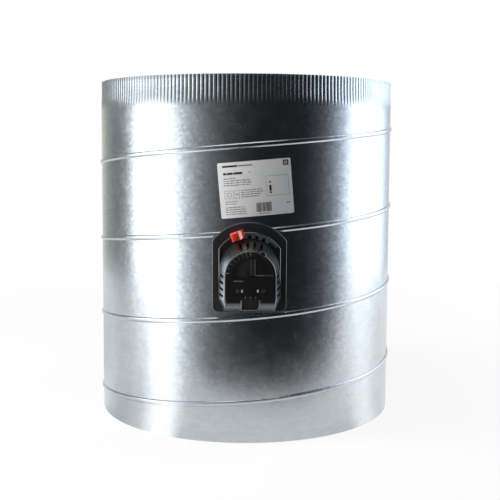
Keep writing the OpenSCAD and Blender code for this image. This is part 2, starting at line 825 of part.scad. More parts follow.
module gear_plate() {
    r = face_arch_r + layer_gap;
    half = cover_arch_r - 3 * cover_wall;
    drop_share = 0.78;
    drop = base_drop * drop_share;
    color("lightsteelblue") on_front() translate([0, 0, gear_plate_low]) difference() {
        linear_extrude(gear_plate_t) difference() {
            union() {
                translate([0, -face_arch_z / 3]) circle(r = r, $fn = 96);
                translate([-half, -drop]) square([2 * half, drop - face_arch_z]);
            }
            translate([-block_half_w - run_gap, -base_drop]) {
                square([2 * (block_half_w + run_gap), base_drop - face_drop + run_gap]);
            }
        }
        translate([0, 0, -cut]) {
            cylinder(r = hub_d / 2 + 2 * gear_play, h = gear_plate_t + 2 * cut, $fn = 64);
            translate(idler_at) cylinder(r = axle_d / 2 + fit_gap, h = gear_plate_t + 2 * cut, $fn = 32);
            translate(motor_at) {
                cylinder(r = motor_pinion_r + mod_in + run_gap, h = gear_plate_t + 2 * cut, $fn = 48);
            }
            for (p = concat(post_places, standoff_places, motor_ear_places())) translate(p) {
                cylinder(r = small_screw_d / 2 + fit_gap, h = gear_plate_t + 2 * cut, $fn = 32);
            }
        }
    }
}

function motor_ear_places() = [for (side = [-1, 1])
    motor_at + side * motor_ear_r * [cos(motor_ear_dir), sin(motor_ear_dir)]];

module gear_plate_screws() {
    color("silver") on_front() for (p = post_places) {
        translate([p.x, p.y, gear_plate_top]) {
            screw(small_screw_d, small_head_d, small_head_h, gear_plate_top - wheel_low);
        }
    }
}

module idler_axle() {
    low = floor_top + seat;
    color("silver") on_front() translate([idler_at.x, idler_at.y, low]) {
        cylinder(d = axle_d, h = gear_plate_top - low, $fn = 32);
    }
}

module motor() {
    ear_w = small_head_d + cover_wall;
    tag_share = 1.5;
    color("#8d9094") on_front() translate([motor_at.x, motor_at.y, motor_low]) difference() {
        union() {
            cylinder(d = motor_d, h = motor_len, $fn = 64);
            rotate(motor_ear_dir) {
                translate([-motor_ear_r, -ear_w / 2, 0]) cube([2 * motor_ear_r, ear_w, gear_plate_t]);
                for (x = [-1, 1]) translate([x * motor_ear_r, 0, 0]) {
                    cylinder(d = ear_w, h = gear_plate_t, $fn = 32);
                }
            }
            for (x = [-1, 1]) translate([x * motor_shaft_d * tag_share, motor_shaft_d, motor_len - cut]) {
                cylinder(d = motor_shaft_d / 2, h = board_low - motor_top + cut - fit_gap, $fn = 16);
            }
        }
        translate([0, 0, -cut]) {
            cylinder(r = motor_shaft_d / 2 + gear_play, h = motor_len / 2 + cut, $fn = 32);
        }
        rotate(motor_ear_dir) for (x = [-1, 1]) translate([x * motor_ear_r, 0, -cut]) {
            cylinder(r = small_screw_d / 2 + fit_gap, h = gear_plate_t + 2 * cut, $fn = 32);
        }
    }
}

module motor_screws() {
    seat_h = motor_low + gear_plate_t;
    color("silver") on_front() for (p = motor_ear_places()) translate([p.x, p.y, seat_h]) {
        screw(small_screw_d, small_head_d, small_head_h, seat_h - gear_plate_low);
    }
}

module board_standoffs() {
    color("goldenrod") on_front() for (p = standoff_places) translate([p.x, p.y, gear_plate_top]) {
        difference() {
            cylinder(d = standoff_d / cos(30), h = standoff_h, $fn = 6);
            translate([0, 0, standoff_h / 2]) {
                cylinder(r = small_screw_d / 2 + fit_gap, h = standoff_h, $fn = 32);
            }
        }
    }
}

module circuit_board() {
    arch_share = 0.7;
    shoulder_shares = [0.9, 0.64];
    color("#1f5a34") on_front() translate([0, 0, board_low]) difference() {
        linear_extrude(board_t) {
            intersection() {
                translate([0, -face_arch_z * arch_share]) circle(r = face_arch_r - cut, $fn = 96);
                translate([-board_half_w * shoulder_shares.x, -face_arch_z]) {
                    square([2 * board_half_w * shoulder_shares.x, board_half_w * shoulder_shares.y]);
                }
            }
            translate([-board_half_w, -board_drop]) square([2 * board_half_w, board_drop - face_arch_z]);
        }
        translate([0, 0, -cut]) {
            cylinder(r = stem_r + 2 * run_gap, h = board_t + 2 * cut, $fn = 48);
            for (p = standoff_places) translate(p) {
                cylinder(r = small_screw_d / 2 + fit_gap, h = board_t + 2 * cut, $fn = 32);
            }
        }
    }
}

module board_screws() {
    color("silver") on_front() for (p = standoff_places) translate([p.x, p.y, board_top]) {
        screw(small_screw_d, small_head_d, small_head_h, standoff_h / 3);
    }
}

// The parts soldered to the board: two light chips, a relay, a capacitor, two chips
module board_parts() {
    light_chip_share = 1.6;
    box_share = 0.4;
    relay_shares = [0.55, -0.5];
    can_shares = [-1.2, -0.55];
    can_d_share = 0.72;
    chip_x_shares = [-1.9, 1.25];
    chip_y_share = -1.75;
    chip_size_shares = [0.7, 0.6];
    chip_w = light_r * light_chip_share;
    box_w = board_half_w * box_share;
    on_front() translate([0, 0, board_top]) {
        color("ivory") for (x = [-1, 1]) translate([x * light_x, -light_z, light_chip_h / 2]) {
            cube([chip_w, chip_w, light_chip_h], center = true);
        }
        color("royalblue") translate(relay_shares * box_w) cube([box_w, box_w, board_part_h]);
        color("black") translate(can_shares * box_w) {
            cylinder(d = box_w * can_d_share, h = board_part_h, $fn = 48);
        }
        color("black") for (x = chip_x_shares) translate([x, chip_y_share] * box_w) {
            cube([chip_size_shares.x * box_w, chip_size_shares.y * box_w, light_chip_h]);
        }
    }
}

// A light pipe from a chip on the board to its window in the face
module light_pipe() {
    low = board_top + light_chip_h + seat;
    color("whitesmoke") on_front() translate([0, -light_z, low]) {
        linear_extrude(face_top + seat / 2 - low) light_window(light_r);
    }
}

module light_open() {
    translate([-light_x, 0, 0]) light_pipe();
}

module light_closed() {
    translate([light_x, 0, 0]) light_pipe();
}

// Depth of the cover's lower slope at a height
function slope_h(y) = cover_low + (y + base_drop) / (base_drop - face_drop) * cover_deep;

module terminal_block() {
    clamp_w = button_w + button_gap;
    color("#242527") on_front() difference() {
        side_prism(block_half_w) polygon([[-block_drop, block_low],
            [-block_drop, slope_h(-block_drop) - block_sink],
            [block_top_y, slope_h(block_top_y) - block_sink], [block_top_y, block_low]]);
        for (i = [-1 : 1]) translate([i * port_pitch, 0, 0]) {
            translate([0, -block_drop - cut, port_h]) rotate([-90, 0, 0]) {
                cylinder(d = port_d, h = port_deep + cut, $fn = 32);
            }
            translate([-button_w / 2 - button_gap, channel_bottom_y, channel_low]) {
                cube([button_w + 2 * button_gap, channel_top_y - channel_bottom_y, face_top]);
            }
            translate([-clamp_w / 2, port_deep - block_drop, block_low - cut]) {
                cube([clamp_w, port_d, port_h + port_d / 2 - block_low + cut]);
            }
        }
    }
}

// The brass clamp at the end of each wire port
module wire_clamps() {
    color("gold") on_front() for (i = [-1 : 1]) {
        translate([i * port_pitch - button_w / 2, port_deep - block_drop + fit_gap, block_low]) {
            cube([button_w, port_d - 2 * fit_gap, port_h + port_d / 2 - fit_gap - block_low]);
        }
    }
}

// A wire release button in its channel, its front flush with the slope less a step
module release_button(i) {
    low_y = channel_bottom_y + button_gap;
    high_y = channel_top_y - button_gap;
    step = block_sink + run_gap;
    back = channel_low + button_travel + run_gap;
    color("#2c2d30") on_front() translate([i * port_pitch, 0, 0]) side_prism(button_w / 2) {
        polygon([[low_y, back], [low_y, slope_h(low_y) - step], [high_y, slope_h(high_y) - step],
            [high_y, back]]);
    }
}

module release_button_1() {
    release_button(-1);
}

module release_button_2() {
    release_button(0);
}

module release_button_3() {
    release_button(1);
}

// Distance of the blade bolts along the shaft
bolt_places = [for (i = [0 : bolt_count - 1]) (i - (bolt_count - 1) / 2) * bolt_pitch];

// Blade view: z is the blade's thickness, along the row's x, and y runs along the shaft
module in_blade(x = 0) {
    translate([x, 0, shaft_z]) rotate([0, 90, 0]) children();
}

module damper_shaft() {
    len = 2 * duct_r + shaft_tail + shaft_nose;
    groove_from = bush_flange_t + fit_gap;
    color("silver") difference() {
        on_front(shaft_nose - len) cylinder(r = shaft_r, h = len, $fn = 64);
        translate([shaft_flat, -notch_y - run_gap, shaft_z - shaft_d]) {
            cube([shaft_d, 2 * (notch_y + run_gap), 2 * shaft_d]);
        }
        for (y = bolt_places) translate([0, y, 0]) {
            in_blade(-shaft_d) cylinder(r = bolt_d / 2 + fit_gap, h = 2 * shaft_d, $fn = 32);
            in_blade(-shaft_d - shaft_spot) cylinder(r = hex_r + run_gap, h = shaft_d, $fn = 32);
        }
        on_front(shaft_nose - stem_socket) cylinder(r = stem_r + fit_gap, h = 2 * stem_socket, $fn = 32);
        rotate([0, 0, 180]) for (h = clip_seats()) on_front(h - fit_gap) difference() {
            cylinder(r = shaft_r + cut, h = clip_t + 2 * fit_gap, $fn = 64);
            cylinder(d = clip_groove_d, h = clip_t + 2 * fit_gap, $fn = 64);
        }
    }
}

// Depths of the clips, outside the rear bush and inside it
function clip_seats() = [bush_flange_t + fit_gap + seat, -bush_reach - seat - clip_t];

module shaft_clips() {
    color("dimgray") rotate([0, 0, 180]) for (h = clip_seats()) on_front(h) difference() {
        cylinder(r = clip_r, h = clip_t, $fn = 64);
        translate([0, 0, -cut]) cylinder(r = clip_groove_d / 2 + fit_gap, h = clip_t + 2 * cut, $fn = 64);
        translate([-clip_slot / 2, 0, -cut]) cube([clip_slot, clip_d, clip_t + 2 * cut]);
    }
}

// Places of the edge rivets in the blade view, clear of the shaft's notches
edge_rivet_places = [for (i = [0 : edge_rivet_count - 1]) let (a = 360 * (i + 0.5) / edge_rivet_count)
    edge_rivet_r * [cos(a), sin(a)]];

// A round sheet of the blade, notched at the bearings and drilled
module blade_sheet(r, t) {
    difference() {
        cylinder(r = r, h = t, $fn = 180);
        for (side = [0, 180]) rotate(side) translate([-notch_half, notch_y, -cut]) {
            cube([2 * notch_half, duct_r, t + 2 * cut]);
        }
        translate([0, 0, -cut]) {
            for (y = bolt_places) translate([0, y]) {
                cylinder(r = bolt_d / 2 + fit_gap, h = t + 2 * cut, $fn = 32);
            }
            for (p = edge_rivet_places) translate(p) {
                cylinder(r = rivet_d / 2 + fit_gap, h = t + 2 * cut, $fn = 32);
            }
        }
    }
}

module blade_plate_near() {
    color("gainsboro") in_blade(near_x) blade_sheet(blade_r, blade_t);
}

module blade_gasket() {
    color("#2a2a2a") in_blade(seal_x) blade_sheet(seal_r, blade_seal_t);
}

module blade_plate_far() {
    color("gainsboro") in_blade(far_x) blade_sheet(blade_r, blade_t);
}

module blade_rivets() {
    color("lightgray") for (p = edge_rivet_places) {
        in_blade(near_x - rivet_head_t) translate(p) {
            cylinder(d = rivet_head_d, h = rivet_head_t, $fn = 32);
            cylinder(d = rivet_d, h = stack_x - near_x + 2 * rivet_head_t, $fn = 32);
        }
        in_blade(stack_x) translate(p) cylinder(d = rivet_head_d, h = rivet_head_t, $fn = 32);
    }
}

module blade_bolts() {
    tip = stack_x + washer_t + nut_h + bolt_d / 4;
    color("silver") for (y = bolt_places) {
        in_blade(-shaft_spot - head_h) translate([0, y]) cylinder(r = hex_r, h = head_h, $fn = 6);
        in_blade(-shaft_spot - head_h / 2) translate([0, y]) {
            cylinder(d = bolt_d, h = tip + shaft_spot + head_h / 2, $fn = 32);
        }
    }
}

module blade_washers() {
    color("silver") for (y = bolt_places) in_blade(stack_x) translate([0, y]) difference() {
        cylinder(d = washer_d, h = washer_t, $fn = 48);
        translate([0, 0, -cut]) cylinder(r = bolt_d / 2 + fit_gap, h = washer_t + 2 * cut, $fn = 32);
    }
}

module blade_nuts() {
    color("silver") for (y = bolt_places) in_blade(stack_x + washer_t) translate([0, y]) difference() {
        cylinder(r = hex_r, h = nut_h, $fn = 6);
        translate([0, 0, -cut]) cylinder(r = bolt_d / 2 + fit_gap, h = nut_h + 2 * cut, $fn = 32);
    }
}

// Angle between a tooth's centre line and its involute flank, at a radius
function involute(a) = tan(a) * 180 / PI - a;
function flank_angle(r, m, n) =
    let (pitch_r = m * n / 2, base = pitch_r * cos(pressure_angle))
    90 / n - backlash / pitch_r / 4 * 180 / PI + involute(pressure_angle)
        - (r > base ? involute(acos(base / r)) : 0);

// The outline of a spur gear whose first tooth points at an angle
module gear_outline(m, n, phase) {
    pitch_r = m * n / 2;
    root = pitch_r - dedendum_share * m;
    tip = pitch_r + addendum_share * m;
    foot = max(root, pitch_r * cos(pressure_angle));
    radii = concat([root], [for (s = flank_shares) foot + (tip - foot) * s]);
    half = [for (r = radii) [r, flank_angle(r, m, n)]];
    count = len(half);
    tooth = concat([for (p = half) [p[0], -p[1]]], [for (i = [count - 1 : -1 : 0]) half[i]]);
    polygon([for (i = [0 : n - 1], p = tooth)
        let (a = phase + 360 * i / n + p[1])
        p[0] * [cos(a), sin(a)]]);
}

// The angle of the second gear's tooth that puts it in mesh with the first
function mesh_phase(dir, phase, n_first, n_second) =
    dir + 180 - (0.5 - (dir - phase) * n_first / 360) * 360 / n_second;

module output_gear() {
    hub_r = hub_d / 2;
    window_r = (out_r - hub_r) / 4;
    color("whitesmoke") on_front() difference() {
        union() {
            translate([0, 0, gear_low]) linear_extrude(face_out) gear_outline(mod_out, teeth_out, 0);
            translate([0, 0, hub_low]) cylinder(r = hub_r, h = hub_top - hub_low, $fn = 64);
        }
        cylinder(r = shaft_r + fit_gap, h = shaft_nose + seat, $fn = 64);
        cylinder(r = stem_r + fit_gap, h = face_top, $fn = 48);
        for (i = [0 : 5]) rotate(60 * i) translate([(out_r + hub_r) / 2, 0, 0]) {
            cylinder(r = window_r, h = face_top, $fn = 48);
        }
        translate([0, 0, (gear_top + gear_plate_low) / 2]) rotate([-90, 0, 0]) {
            cylinder(r = hub_screw_d / 2 + fit_gap, h = hub_d, $fn = 32);
        }
    }
}

module hub_screw() {
    color("dimgray") on_front() translate([0, shaft_r + seat, (gear_top + gear_plate_low) / 2]) {
        rotate([-90, 0, 0]) cylinder(d = hub_screw_d, h = hub_d / 2 - shaft_r - 2 * seat, $fn = 32);
    }
}

// The flat return spring, wound from the hub out to the base's pocket
module return_spring() {
    from_r = hub_d / 2 + fit_gap + spring_t / 2;
    to_r = norm(post_places[0]) - post_d / 2 - spring_t / 2 - fit_gap;
    steps = 24 * spring_turns;
    function edge(side) = [for (i = [0 : steps])
        let (a = 360 * spring_turns * i / steps,
            r = from_r + (to_r - from_r) * i / steps + side * spring_t / 2)
        r * [cos(a), sin(a)]];
    inside = edge(-1);
    color("slategray") on_front(hub_low) linear_extrude(spring_w) {
        polygon(concat(edge(1), [for (i = [len(inside) - 1 : -1 : 0]) inside[i]]));
    }
}

// The pointer's left side lies on the shaft's axis line and is what is read off
module indicator_pointer() {
    low = recess_floor + seat;
    high = face_top + pointer_proud;
    stem_low = shaft_nose - stem_socket + seat;
    color("#202124") on_front() {
        translate([0, 0, low]) cylinder(d = pointer_hub_d, h = high - low, $fn = 64);
        translate([0, 0, low]) cube([pointer_w, pointer_len, high - low]);
        translate([0, 0, stem_low]) cylinder(r = stem_r, h = high - stem_low, $fn = 48);
    }
}

module idler_gear() {
    pinion_phase = mesh_phase(idler_dir, 0, teeth_out, teeth_idler_pinion);
    low = gear_low - seat;
    color("ivory") on_front() translate([idler_at.x, idler_at.y, 0]) difference() {
        union() {
            translate([0, 0, low]) linear_extrude(wheel_low - low + seat) {
                gear_outline(mod_out, teeth_idler_pinion, pinion_phase);
            }
            translate([0, 0, wheel_low]) linear_extrude(face_in) {
                gear_outline(mod_in, teeth_idler_wheel, 0);
            }
        }
        cylinder(r = axle_d / 2 + gear_play, h = face_top, $fn = 32);
    }
}

module motor_pinion() {
    phase = mesh_phase(motor_dir, 0, teeth_idler_wheel, teeth_motor);
    low = wheel_low + seat / 2;
    color("goldenrod") on_front() translate([motor_at.x, motor_at.y, low]) {
        linear_extrude(face_in) gear_outline(mod_in, teeth_motor, phase);
        cylinder(d = motor_shaft_d, h = motor_low + motor_len / 2 - seat - low, $fn = 32);
    }
}

module range_stop() {
    prong_w = stop_hole_w - 2 * stop_gap;
    half_w = stop_head_w / 2;
    half_h = stop_head_h / 2;
    color("#d8321f") on_front() {
        rotate(stop_dir) translate([0, stop_head_r, cover_low]) linear_extrude(stop_head_deep) {
            translate([-half_w, -half_h]) square([stop_head_w, stop_head_h - stop_corner_r]);
            translate([stop_corner_r - half_w, 0]) square([stop_head_w - 2 * stop_corner_r, half_h]);
            for (x = [-1, 1]) translate([x * (half_w - stop_corner_r), half_h - stop_corner_r]) {
                circle(r = stop_corner_r, $fn = 32);
            }
        }
        translate([0, 0, floor_top + seat]) linear_extrude(cover_low + cut - floor_top - seat) {
            at_stop_holes([1, 2]) square(prong_w, center = true);
        }
    }
}

duct_tube();
crimped_end();
lock_seam();
data_label();
front_bush();
rear_bush();
front_push_ring();
rear_push_ring();
foam_gasket();
mounting_plate();
plate_rivets();
actuator_base();
base_screws();
front_cover();
gear_plate();
gear_plate_screws();
idler_axle();
motor();
motor_screws();
board_standoffs();
circuit_board();
board_screws();
board_parts();
light_open();
light_closed();
terminal_block();
wire_clamps();
damper_shaft();
blade_plate_near();
blade_gasket();
blade_plate_far();
blade_rivets();
blade_bolts();
blade_washers();
blade_nuts();
shaft_clips();
output_gear();
hub_screw();
return_spring();
indicator_pointer();
idler_gear();
motor_pinion();
range_stop();
release_button_1();
release_button_2();
release_button_3();
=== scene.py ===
"""Looks of a motorized duct damper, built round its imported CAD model.

Lengths are in millimetres in this file and become metres where a mesh is made.
The duct stands on its plain rim, its crimped end is up and the actuator faces -Y.
"""

import bmesh
import bpy
import numpy as np
from mathutils import Matrix, Vector


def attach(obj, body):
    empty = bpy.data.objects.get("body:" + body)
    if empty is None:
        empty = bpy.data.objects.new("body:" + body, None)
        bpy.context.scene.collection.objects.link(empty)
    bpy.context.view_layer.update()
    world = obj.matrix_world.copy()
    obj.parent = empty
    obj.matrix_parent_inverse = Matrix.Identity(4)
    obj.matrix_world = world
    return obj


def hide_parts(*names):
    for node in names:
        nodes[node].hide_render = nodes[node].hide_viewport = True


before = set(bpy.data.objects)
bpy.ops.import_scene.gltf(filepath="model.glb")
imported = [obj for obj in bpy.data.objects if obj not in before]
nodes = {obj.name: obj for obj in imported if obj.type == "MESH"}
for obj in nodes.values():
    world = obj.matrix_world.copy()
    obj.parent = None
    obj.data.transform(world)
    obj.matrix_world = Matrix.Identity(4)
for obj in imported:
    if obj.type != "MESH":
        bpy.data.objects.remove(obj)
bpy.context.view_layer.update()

MM = 0.001

# Duct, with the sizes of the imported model
DUCT_R = 203.2
WALL = 0.7
PLAIN_LEN = 414.0
CRIMP_LEN = 38.0
CRIMPS = 240
CREST_R = 202.3
CRIMP_DEEP = 0.46
CRIMP_NARROW = 2.6
SEAM_PITCH = 105.0
SEAM_FRONT = 366.4
SEAM_W = 7.5
SHAFT_Z = 218.5
BUSH_FLANGE_R = 12.0
LABEL = dict(turn=2.2, z=314.8, tilt=4.9, r=DUCT_R + 0.3)

# Actuator, seen from the front: x to the right and y up from the shaft, h out of the duct
BASE_H = 13.2
FACE_H = 50.0
INNER_FACE_H = 47.6
RECESS_H = 48.8
POINTER_LOW = 48.95
FACE_EDGE_R = 1.1
HALF_W = 37.5
FOOT_Y = -50.8
ARCH_R = 36.0
FACE_ARCH_R = 30.0
FACE_ARCH_Y = -4.5
FACE_FOOT_Y = -30.8
DIAL_R = 18.5
NOTCH_HALF_W = 11.7
HOLES_IN, HOLES_OUT = 37.0, 40.4
STOP_R = 43.4
SCALE_STEP = 90 / 7
TERMINALS = (-5.8, 0.0, 5.8)
LIGHT_X = 9.2
VENT_W = 2.9
VENT_LEN = 22.0
VENT_PITCH = 7.6
TOP_VENTS = (1.62, 0.41, -0.78, -1.98)


# Meshes


def linked(name, data):
    """An object with its data, in the scene."""
    made = bpy.data.objects.new(name, data)
    bpy.context.scene.collection.objects.link(made)
    return made


def put_mesh(name, points, faces, smooth=35.0):
    """A mesh object from points in millimetres and faces, its faces turned outwards."""
    mesh = bpy.data.meshes.new(name)
    mesh.from_pydata(np.asarray(points, float) * MM, [], faces)
    mesh.validate()
    made = linked(name, mesh)
    if signed_volume(mesh) < 0:
        mesh.flip_normals()
    mesh.set_sharp_from_angle(angle=np.radians(smooth))
    return made


def signed_volume(mesh):
    """Sum over triangles of a . (b x c), which is positive where the faces point outwards."""
    mesh.calc_loop_triangles()
    co = np.empty(len(mesh.vertices) * 3, np.float32)
    mesh.vertices.foreach_get("co", co)
    tri = np.empty(len(mesh.loop_triangles) * 3, np.int32)
    mesh.loop_triangles.foreach_get("vertices", tri)
    a, b, c = (co.reshape(-1, 3)[tri.reshape(-1, 3)[:, k]] for k in range(3))
    return float(np.einsum("ij,ij->i", a, np.cross(b, c)).sum())


def grid_faces(rows, cols, round_rows=False, round_cols=False):
    """Quads between neighbours of a grid of rows x cols points, closed round either way if asked."""
    r = np.arange(rows if round_rows else rows - 1)
    c = np.arange(cols if round_cols else cols - 1)
    r, c = np.meshgrid(r, c, indexing="ij")
    r2, c2 = (r + 1) % rows, (c + 1) % cols
    return np.stack([r * cols + c, r * cols + c2, r2 * cols + c2, r2 * cols + c], -1).reshape(-1, 4)


def tube_faces(rows, cols):
    """Quads of a tube of rows x cols points, round along each row, with a cap on its first and its last row."""
    faces = grid_faces(rows, cols, False, True).tolist()
    return faces + [list(range(cols))[::-1], list(range((rows - 1) * cols, rows * cols))]


def front(x, y, h):
    """Points of the front view, x to the right, y up from the shaft and h out of the duct."""
    x, y, h = np.broadcast_arrays(x, y, h)
    return np.stack([x, -(DUCT_R + h), SHAFT_Z + y], -1).astype(float)


def at_height(outline, h):
    """Points x, y, h of an outline."""
    return np.column_stack([outline, np.full(len(outline), h)])


def front_grid(grid):
    """Points of the front view from a grid whose last axis is x, y, h, as one list."""
    return front(grid[..., 0], grid[..., 1], grid[..., 2]).reshape(-1, 3)


def ride_as(piece, body, slot, finish, *stands_for):
    """Puts a piece on a body and gives it its finish. The slot is not used."""
    piece.data.materials.clear()
    piece.data.materials.append(finish)
    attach(piece, body)
    if stands_for:
        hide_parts(*stands_for)
    return piece


def evaluated_mesh(thing):
    """A plain mesh of an object with its modifiers applied, or of a text."""
    bpy.context.view_layer.update()
    return bpy.data.meshes.new_from_object(thing.evaluated_get(bpy.context.evaluated_depsgraph_get()))


def keep_flat(made):
    """Shades large faces flat next to rounded edges."""
    flat = made.modifiers.new("flat_faces", "WEIGHTED_NORMAL")
    flat.keep_sharp = True
    return made


def merged_solid(node):
    """A CAD solid's loose triangles, merged, with its flat faces joined."""
    bm = bmesh.new()
    bm.from_mesh(nodes[node].data)
    bmesh.ops.remove_doubles(bm, verts=bm.verts, dist=0.004 * MM)
    bmesh.ops.dissolve_limit(bm, angle_limit=np.radians(0.6), use_dissolve_boundaries=False,
                             verts=bm.verts, edges=bm.edges)
    bm.verts.index_update()
    return bm


def rounded_copy(node, radius):
    """A copy of a CAD solid with every edge sharper than 30 degrees rounded to a radius."""
    bm = merged_solid(node)
    points = np.array([v.co for v in bm.verts]) / MM
    faces = [[v.index for v in f.verts] for f in bm.faces]
    bm.free()
    made = put_mesh(node + "_moulding", points, faces, 40)
    bevel = made.modifiers.new("edge_radius", "BEVEL")
    bevel.width = radius * MM
    bevel.segments = 2
    bevel.limit_method = "ANGLE"
    bevel.angle_limit = np.radians(30)
    bevel.miter_outer = "MITER_ARC"
    return keep_flat(made)


# Node trees


def add(tree, kind, sockets=None, **settings):
    """A node with its settings, and each input socket given a value or joined to another socket."""
    made = tree.nodes.new("ShaderNode" + kind)
    for key, value in settings.items():
        setattr(made, key, value)
    for key, value in (sockets or {}).items():
        if isinstance(value, bpy.types.NodeSocket):
            tree.links.new(value, made.inputs[key])
        else:
            made.inputs[key].default_value = value
    return made


def math_node(tree, operation, *values):
    """Result of an operation on values or sockets."""
    made = add(tree, "Math", {i: v for i, v in enumerate(values)}, operation=operation)
    return made.outputs[0]


def weighed(tree, *pairs):
    """Sum of values times their weights, from pairs of the two."""
    total = math_node(tree, "MULTIPLY", *pairs[0])
    for pair in pairs[1:]:
        total = math_node(tree, "ADD", total, math_node(tree, "MULTIPLY", *pair))
    return total


def span(tree, value, low, high, to_low, to_high):
    """Value carried from one range to another, clamped."""
    made = add(tree, "MapRange", {0: value, 1: low, 2: high, 3: to_low, 4: to_high})
    return made.outputs[0]


def noise(tree, vector, scale, detail=2.0, roughness=0.5):
    """Noise of a scale in cells a metre."""
    made = add(tree, "TexNoise", {"Vector": vector, "Scale": scale, "Detail": detail, "Roughness": roughness})
    return made.outputs[0]


def stretched(tree, vector, shares):
    """A vector times a share for each axis."""
    return add(tree, "VectorMath", {0: vector, 1: shares}, operation="MULTIPLY").outputs[0]


def group(name, inputs, outputs):
    """An empty shader group with named number inputs and outputs."""
    tree = bpy.data.node_groups.new(name, "ShaderNodeTree")
    for label, kind, value in inputs:
        socket = tree.interface.new_socket(label, in_out="INPUT", socket_type="NodeSocket" + kind)
        if value is not None:
            socket.default_value = value
    for label, kind in outputs:
        tree.interface.new_socket(label, in_out="OUTPUT", socket_type="NodeSocket" + kind)
    return tree, tree.nodes.new("NodeGroupInput"), tree.nodes.new("NodeGroupOutput")


def put_out(tree, out, **values):
    """Joins a group's results to its outputs by name."""
    for name, value in values.items():
        tree.links.new(value, out.inputs[name])


SKIN_OUTPUTS = [("Tone", "Float"), ("Roughness", "Float"), ("Height", "Float")]


def rolled_zinc_group():
    """Galvanised sheet: fine lines along the rolling direction, a faint crystal spangle, cloudy tone, smears and slow
    waves.

    Lines and smears are noise that is drawn out along the strip and tight across it, where across is the height less
    the helix's rise. The spangle is a cell pattern with one tone a cell, bent by noise, and finer crystals that each
    lean a little: a cell's colour less a half, times a share for each axis. Height is in millimetres."""
    tree, come, out = group(
        "rolled_zinc",
        [("Vector", "Vector", None), ("Line Scale", "Float", 900.0), ("Spangle Scale", "Float", 120.0),
         ("Wave", "Float", 0.2)],
        SKIN_OUTPUTS + [("Lean", "Vector")],
    )
    vector = come.outputs["Vector"]
    split = add(tree, "SeparateXYZ", {0: vector})
    turn = math_node(tree, "ARCTAN2", split.outputs[0], math_node(tree, "MULTIPLY", split.outputs[1], -1.0))
    across = math_node(tree, "SUBTRACT", split.outputs[2],
                       math_node(tree, "MULTIPLY", turn, SEAM_PITCH * MM / (2 * np.pi)))

    def along_strip(along_scale, across_scale, detail, roughness):
        """Noise on the strip's own along and across."""
        drawn = add(tree, "CombineXYZ", {
            0: math_node(tree, "MULTIPLY", split.outputs[0], along_scale),
            1: math_node(tree, "MULTIPLY", split.outputs[1], along_scale),
            2: math_node(tree, "MULTIPLY", across, across_scale),
        })
        return noise(tree, drawn.outputs[0], 1.0, detail, roughness)

    lines = along_strip(9.0, come.outputs["Line Scale"], 3.0, 0.6)
    smears = along_strip(75.0, 300.0, 3.0, 0.65)
    bend = add(tree, "TexNoise", {"Vector": vector, "Scale": 60.0, "Detail": 1.0})
    bend = add(tree, "VectorMath", {0: bend.outputs[1], 3: 0.006}, operation="SCALE")
    bent = add(tree, "VectorMath", {0: vector, 1: bend.outputs[0]}, operation="ADD").outputs[0]
    cells = add(tree, "TexVoronoi", {"Vector": bent, "Scale": come.outputs["Spangle Scale"], "Smoothness": 0.6},
                feature="SMOOTH_F1")
    cell = add(tree, "SeparateColor", {0: cells.outputs["Color"]})
    crystals = add(tree, "TexVoronoi", {"Vector": bent, "Scale": 300.0}, feature="F1")
    lean = add(tree, "VectorMath", {0: crystals.outputs["Color"], 1: (0.5, 0.5, 0.5)}, operation="SUBTRACT")
    cloud = noise(tree, vector, 55.0, 4.0, 0.6)
    drift = noise(tree, vector, 9.0, 2.0, 0.5)
    waves = noise(tree, vector, 14.0, 1.0, 0.4)
    tone = weighed(tree, (cell.outputs[0], 0.08), (cloud, 0.34), (lines, 0.22), (smears, 0.24), (drift, 0.12))
    put_out(tree, out, Tone=span(tree, tone, 0.30, 0.70, 0.0, 1.0),
            Roughness=weighed(tree, (drift, 0.4), (cloud, 0.6)),
            Height=weighed(tree, (lines, 0.004), (waves, come.outputs["Wave"]), (smears, 0.008)),
            Lean=stretched(tree, lean.outputs[0], (0.034, 0.034, 0.012)))
    return tree


def moulded_group():
    """Moulded plastic: a fine even grain, soft cloudy gloss and a little dust."""
    tree, come, out = group("moulded_skin", [("Vector", "Vector", None), ("Grain Scale", "Float", 2600.0)],
                            SKIN_OUTPUTS)
    vector = come.outputs["Vector"]
    grain = noise(tree, vector, come.outputs["Grain Scale"], 2.0, 0.6)
    cloud = noise(tree, vector, 60.0, 3.0, 0.6)
    specks = span(tree, noise(tree, vector, 1400.0, 1.0, 0.5), 0.70, 0.78, 0.0, 1.0)
    put_out(tree, out, Tone=weighed(tree, (cloud, 0.7), (specks, 0.3)),
            Roughness=weighed(tree, (grain, 0.5), (cloud, 0.5)), Height=grain)
    return tree


def worked_metal_group():
    """Turned, drawn or plated metal: short scratches over a cloudy finish."""
    tree, come, out = group("worked_metal", [("Vector", "Vector", None), ("Scale", "Float", 300.0)], SKIN_OUTPUTS)
    vector = come.outputs["Vector"]
    cloud = noise(tree, vector, come.outputs["Scale"], 3.0, 0.6)
    scratch = noise(tree, stretched(tree, vector, (4000.0, 160.0, 4000.0)), 1.0, 2.0, 0.6)
    put_out(tree, out, Tone=cloud, Roughness=weighed(tree, (cloud, 0.5), (scratch, 0.5)), Height=scratch)
    return tree


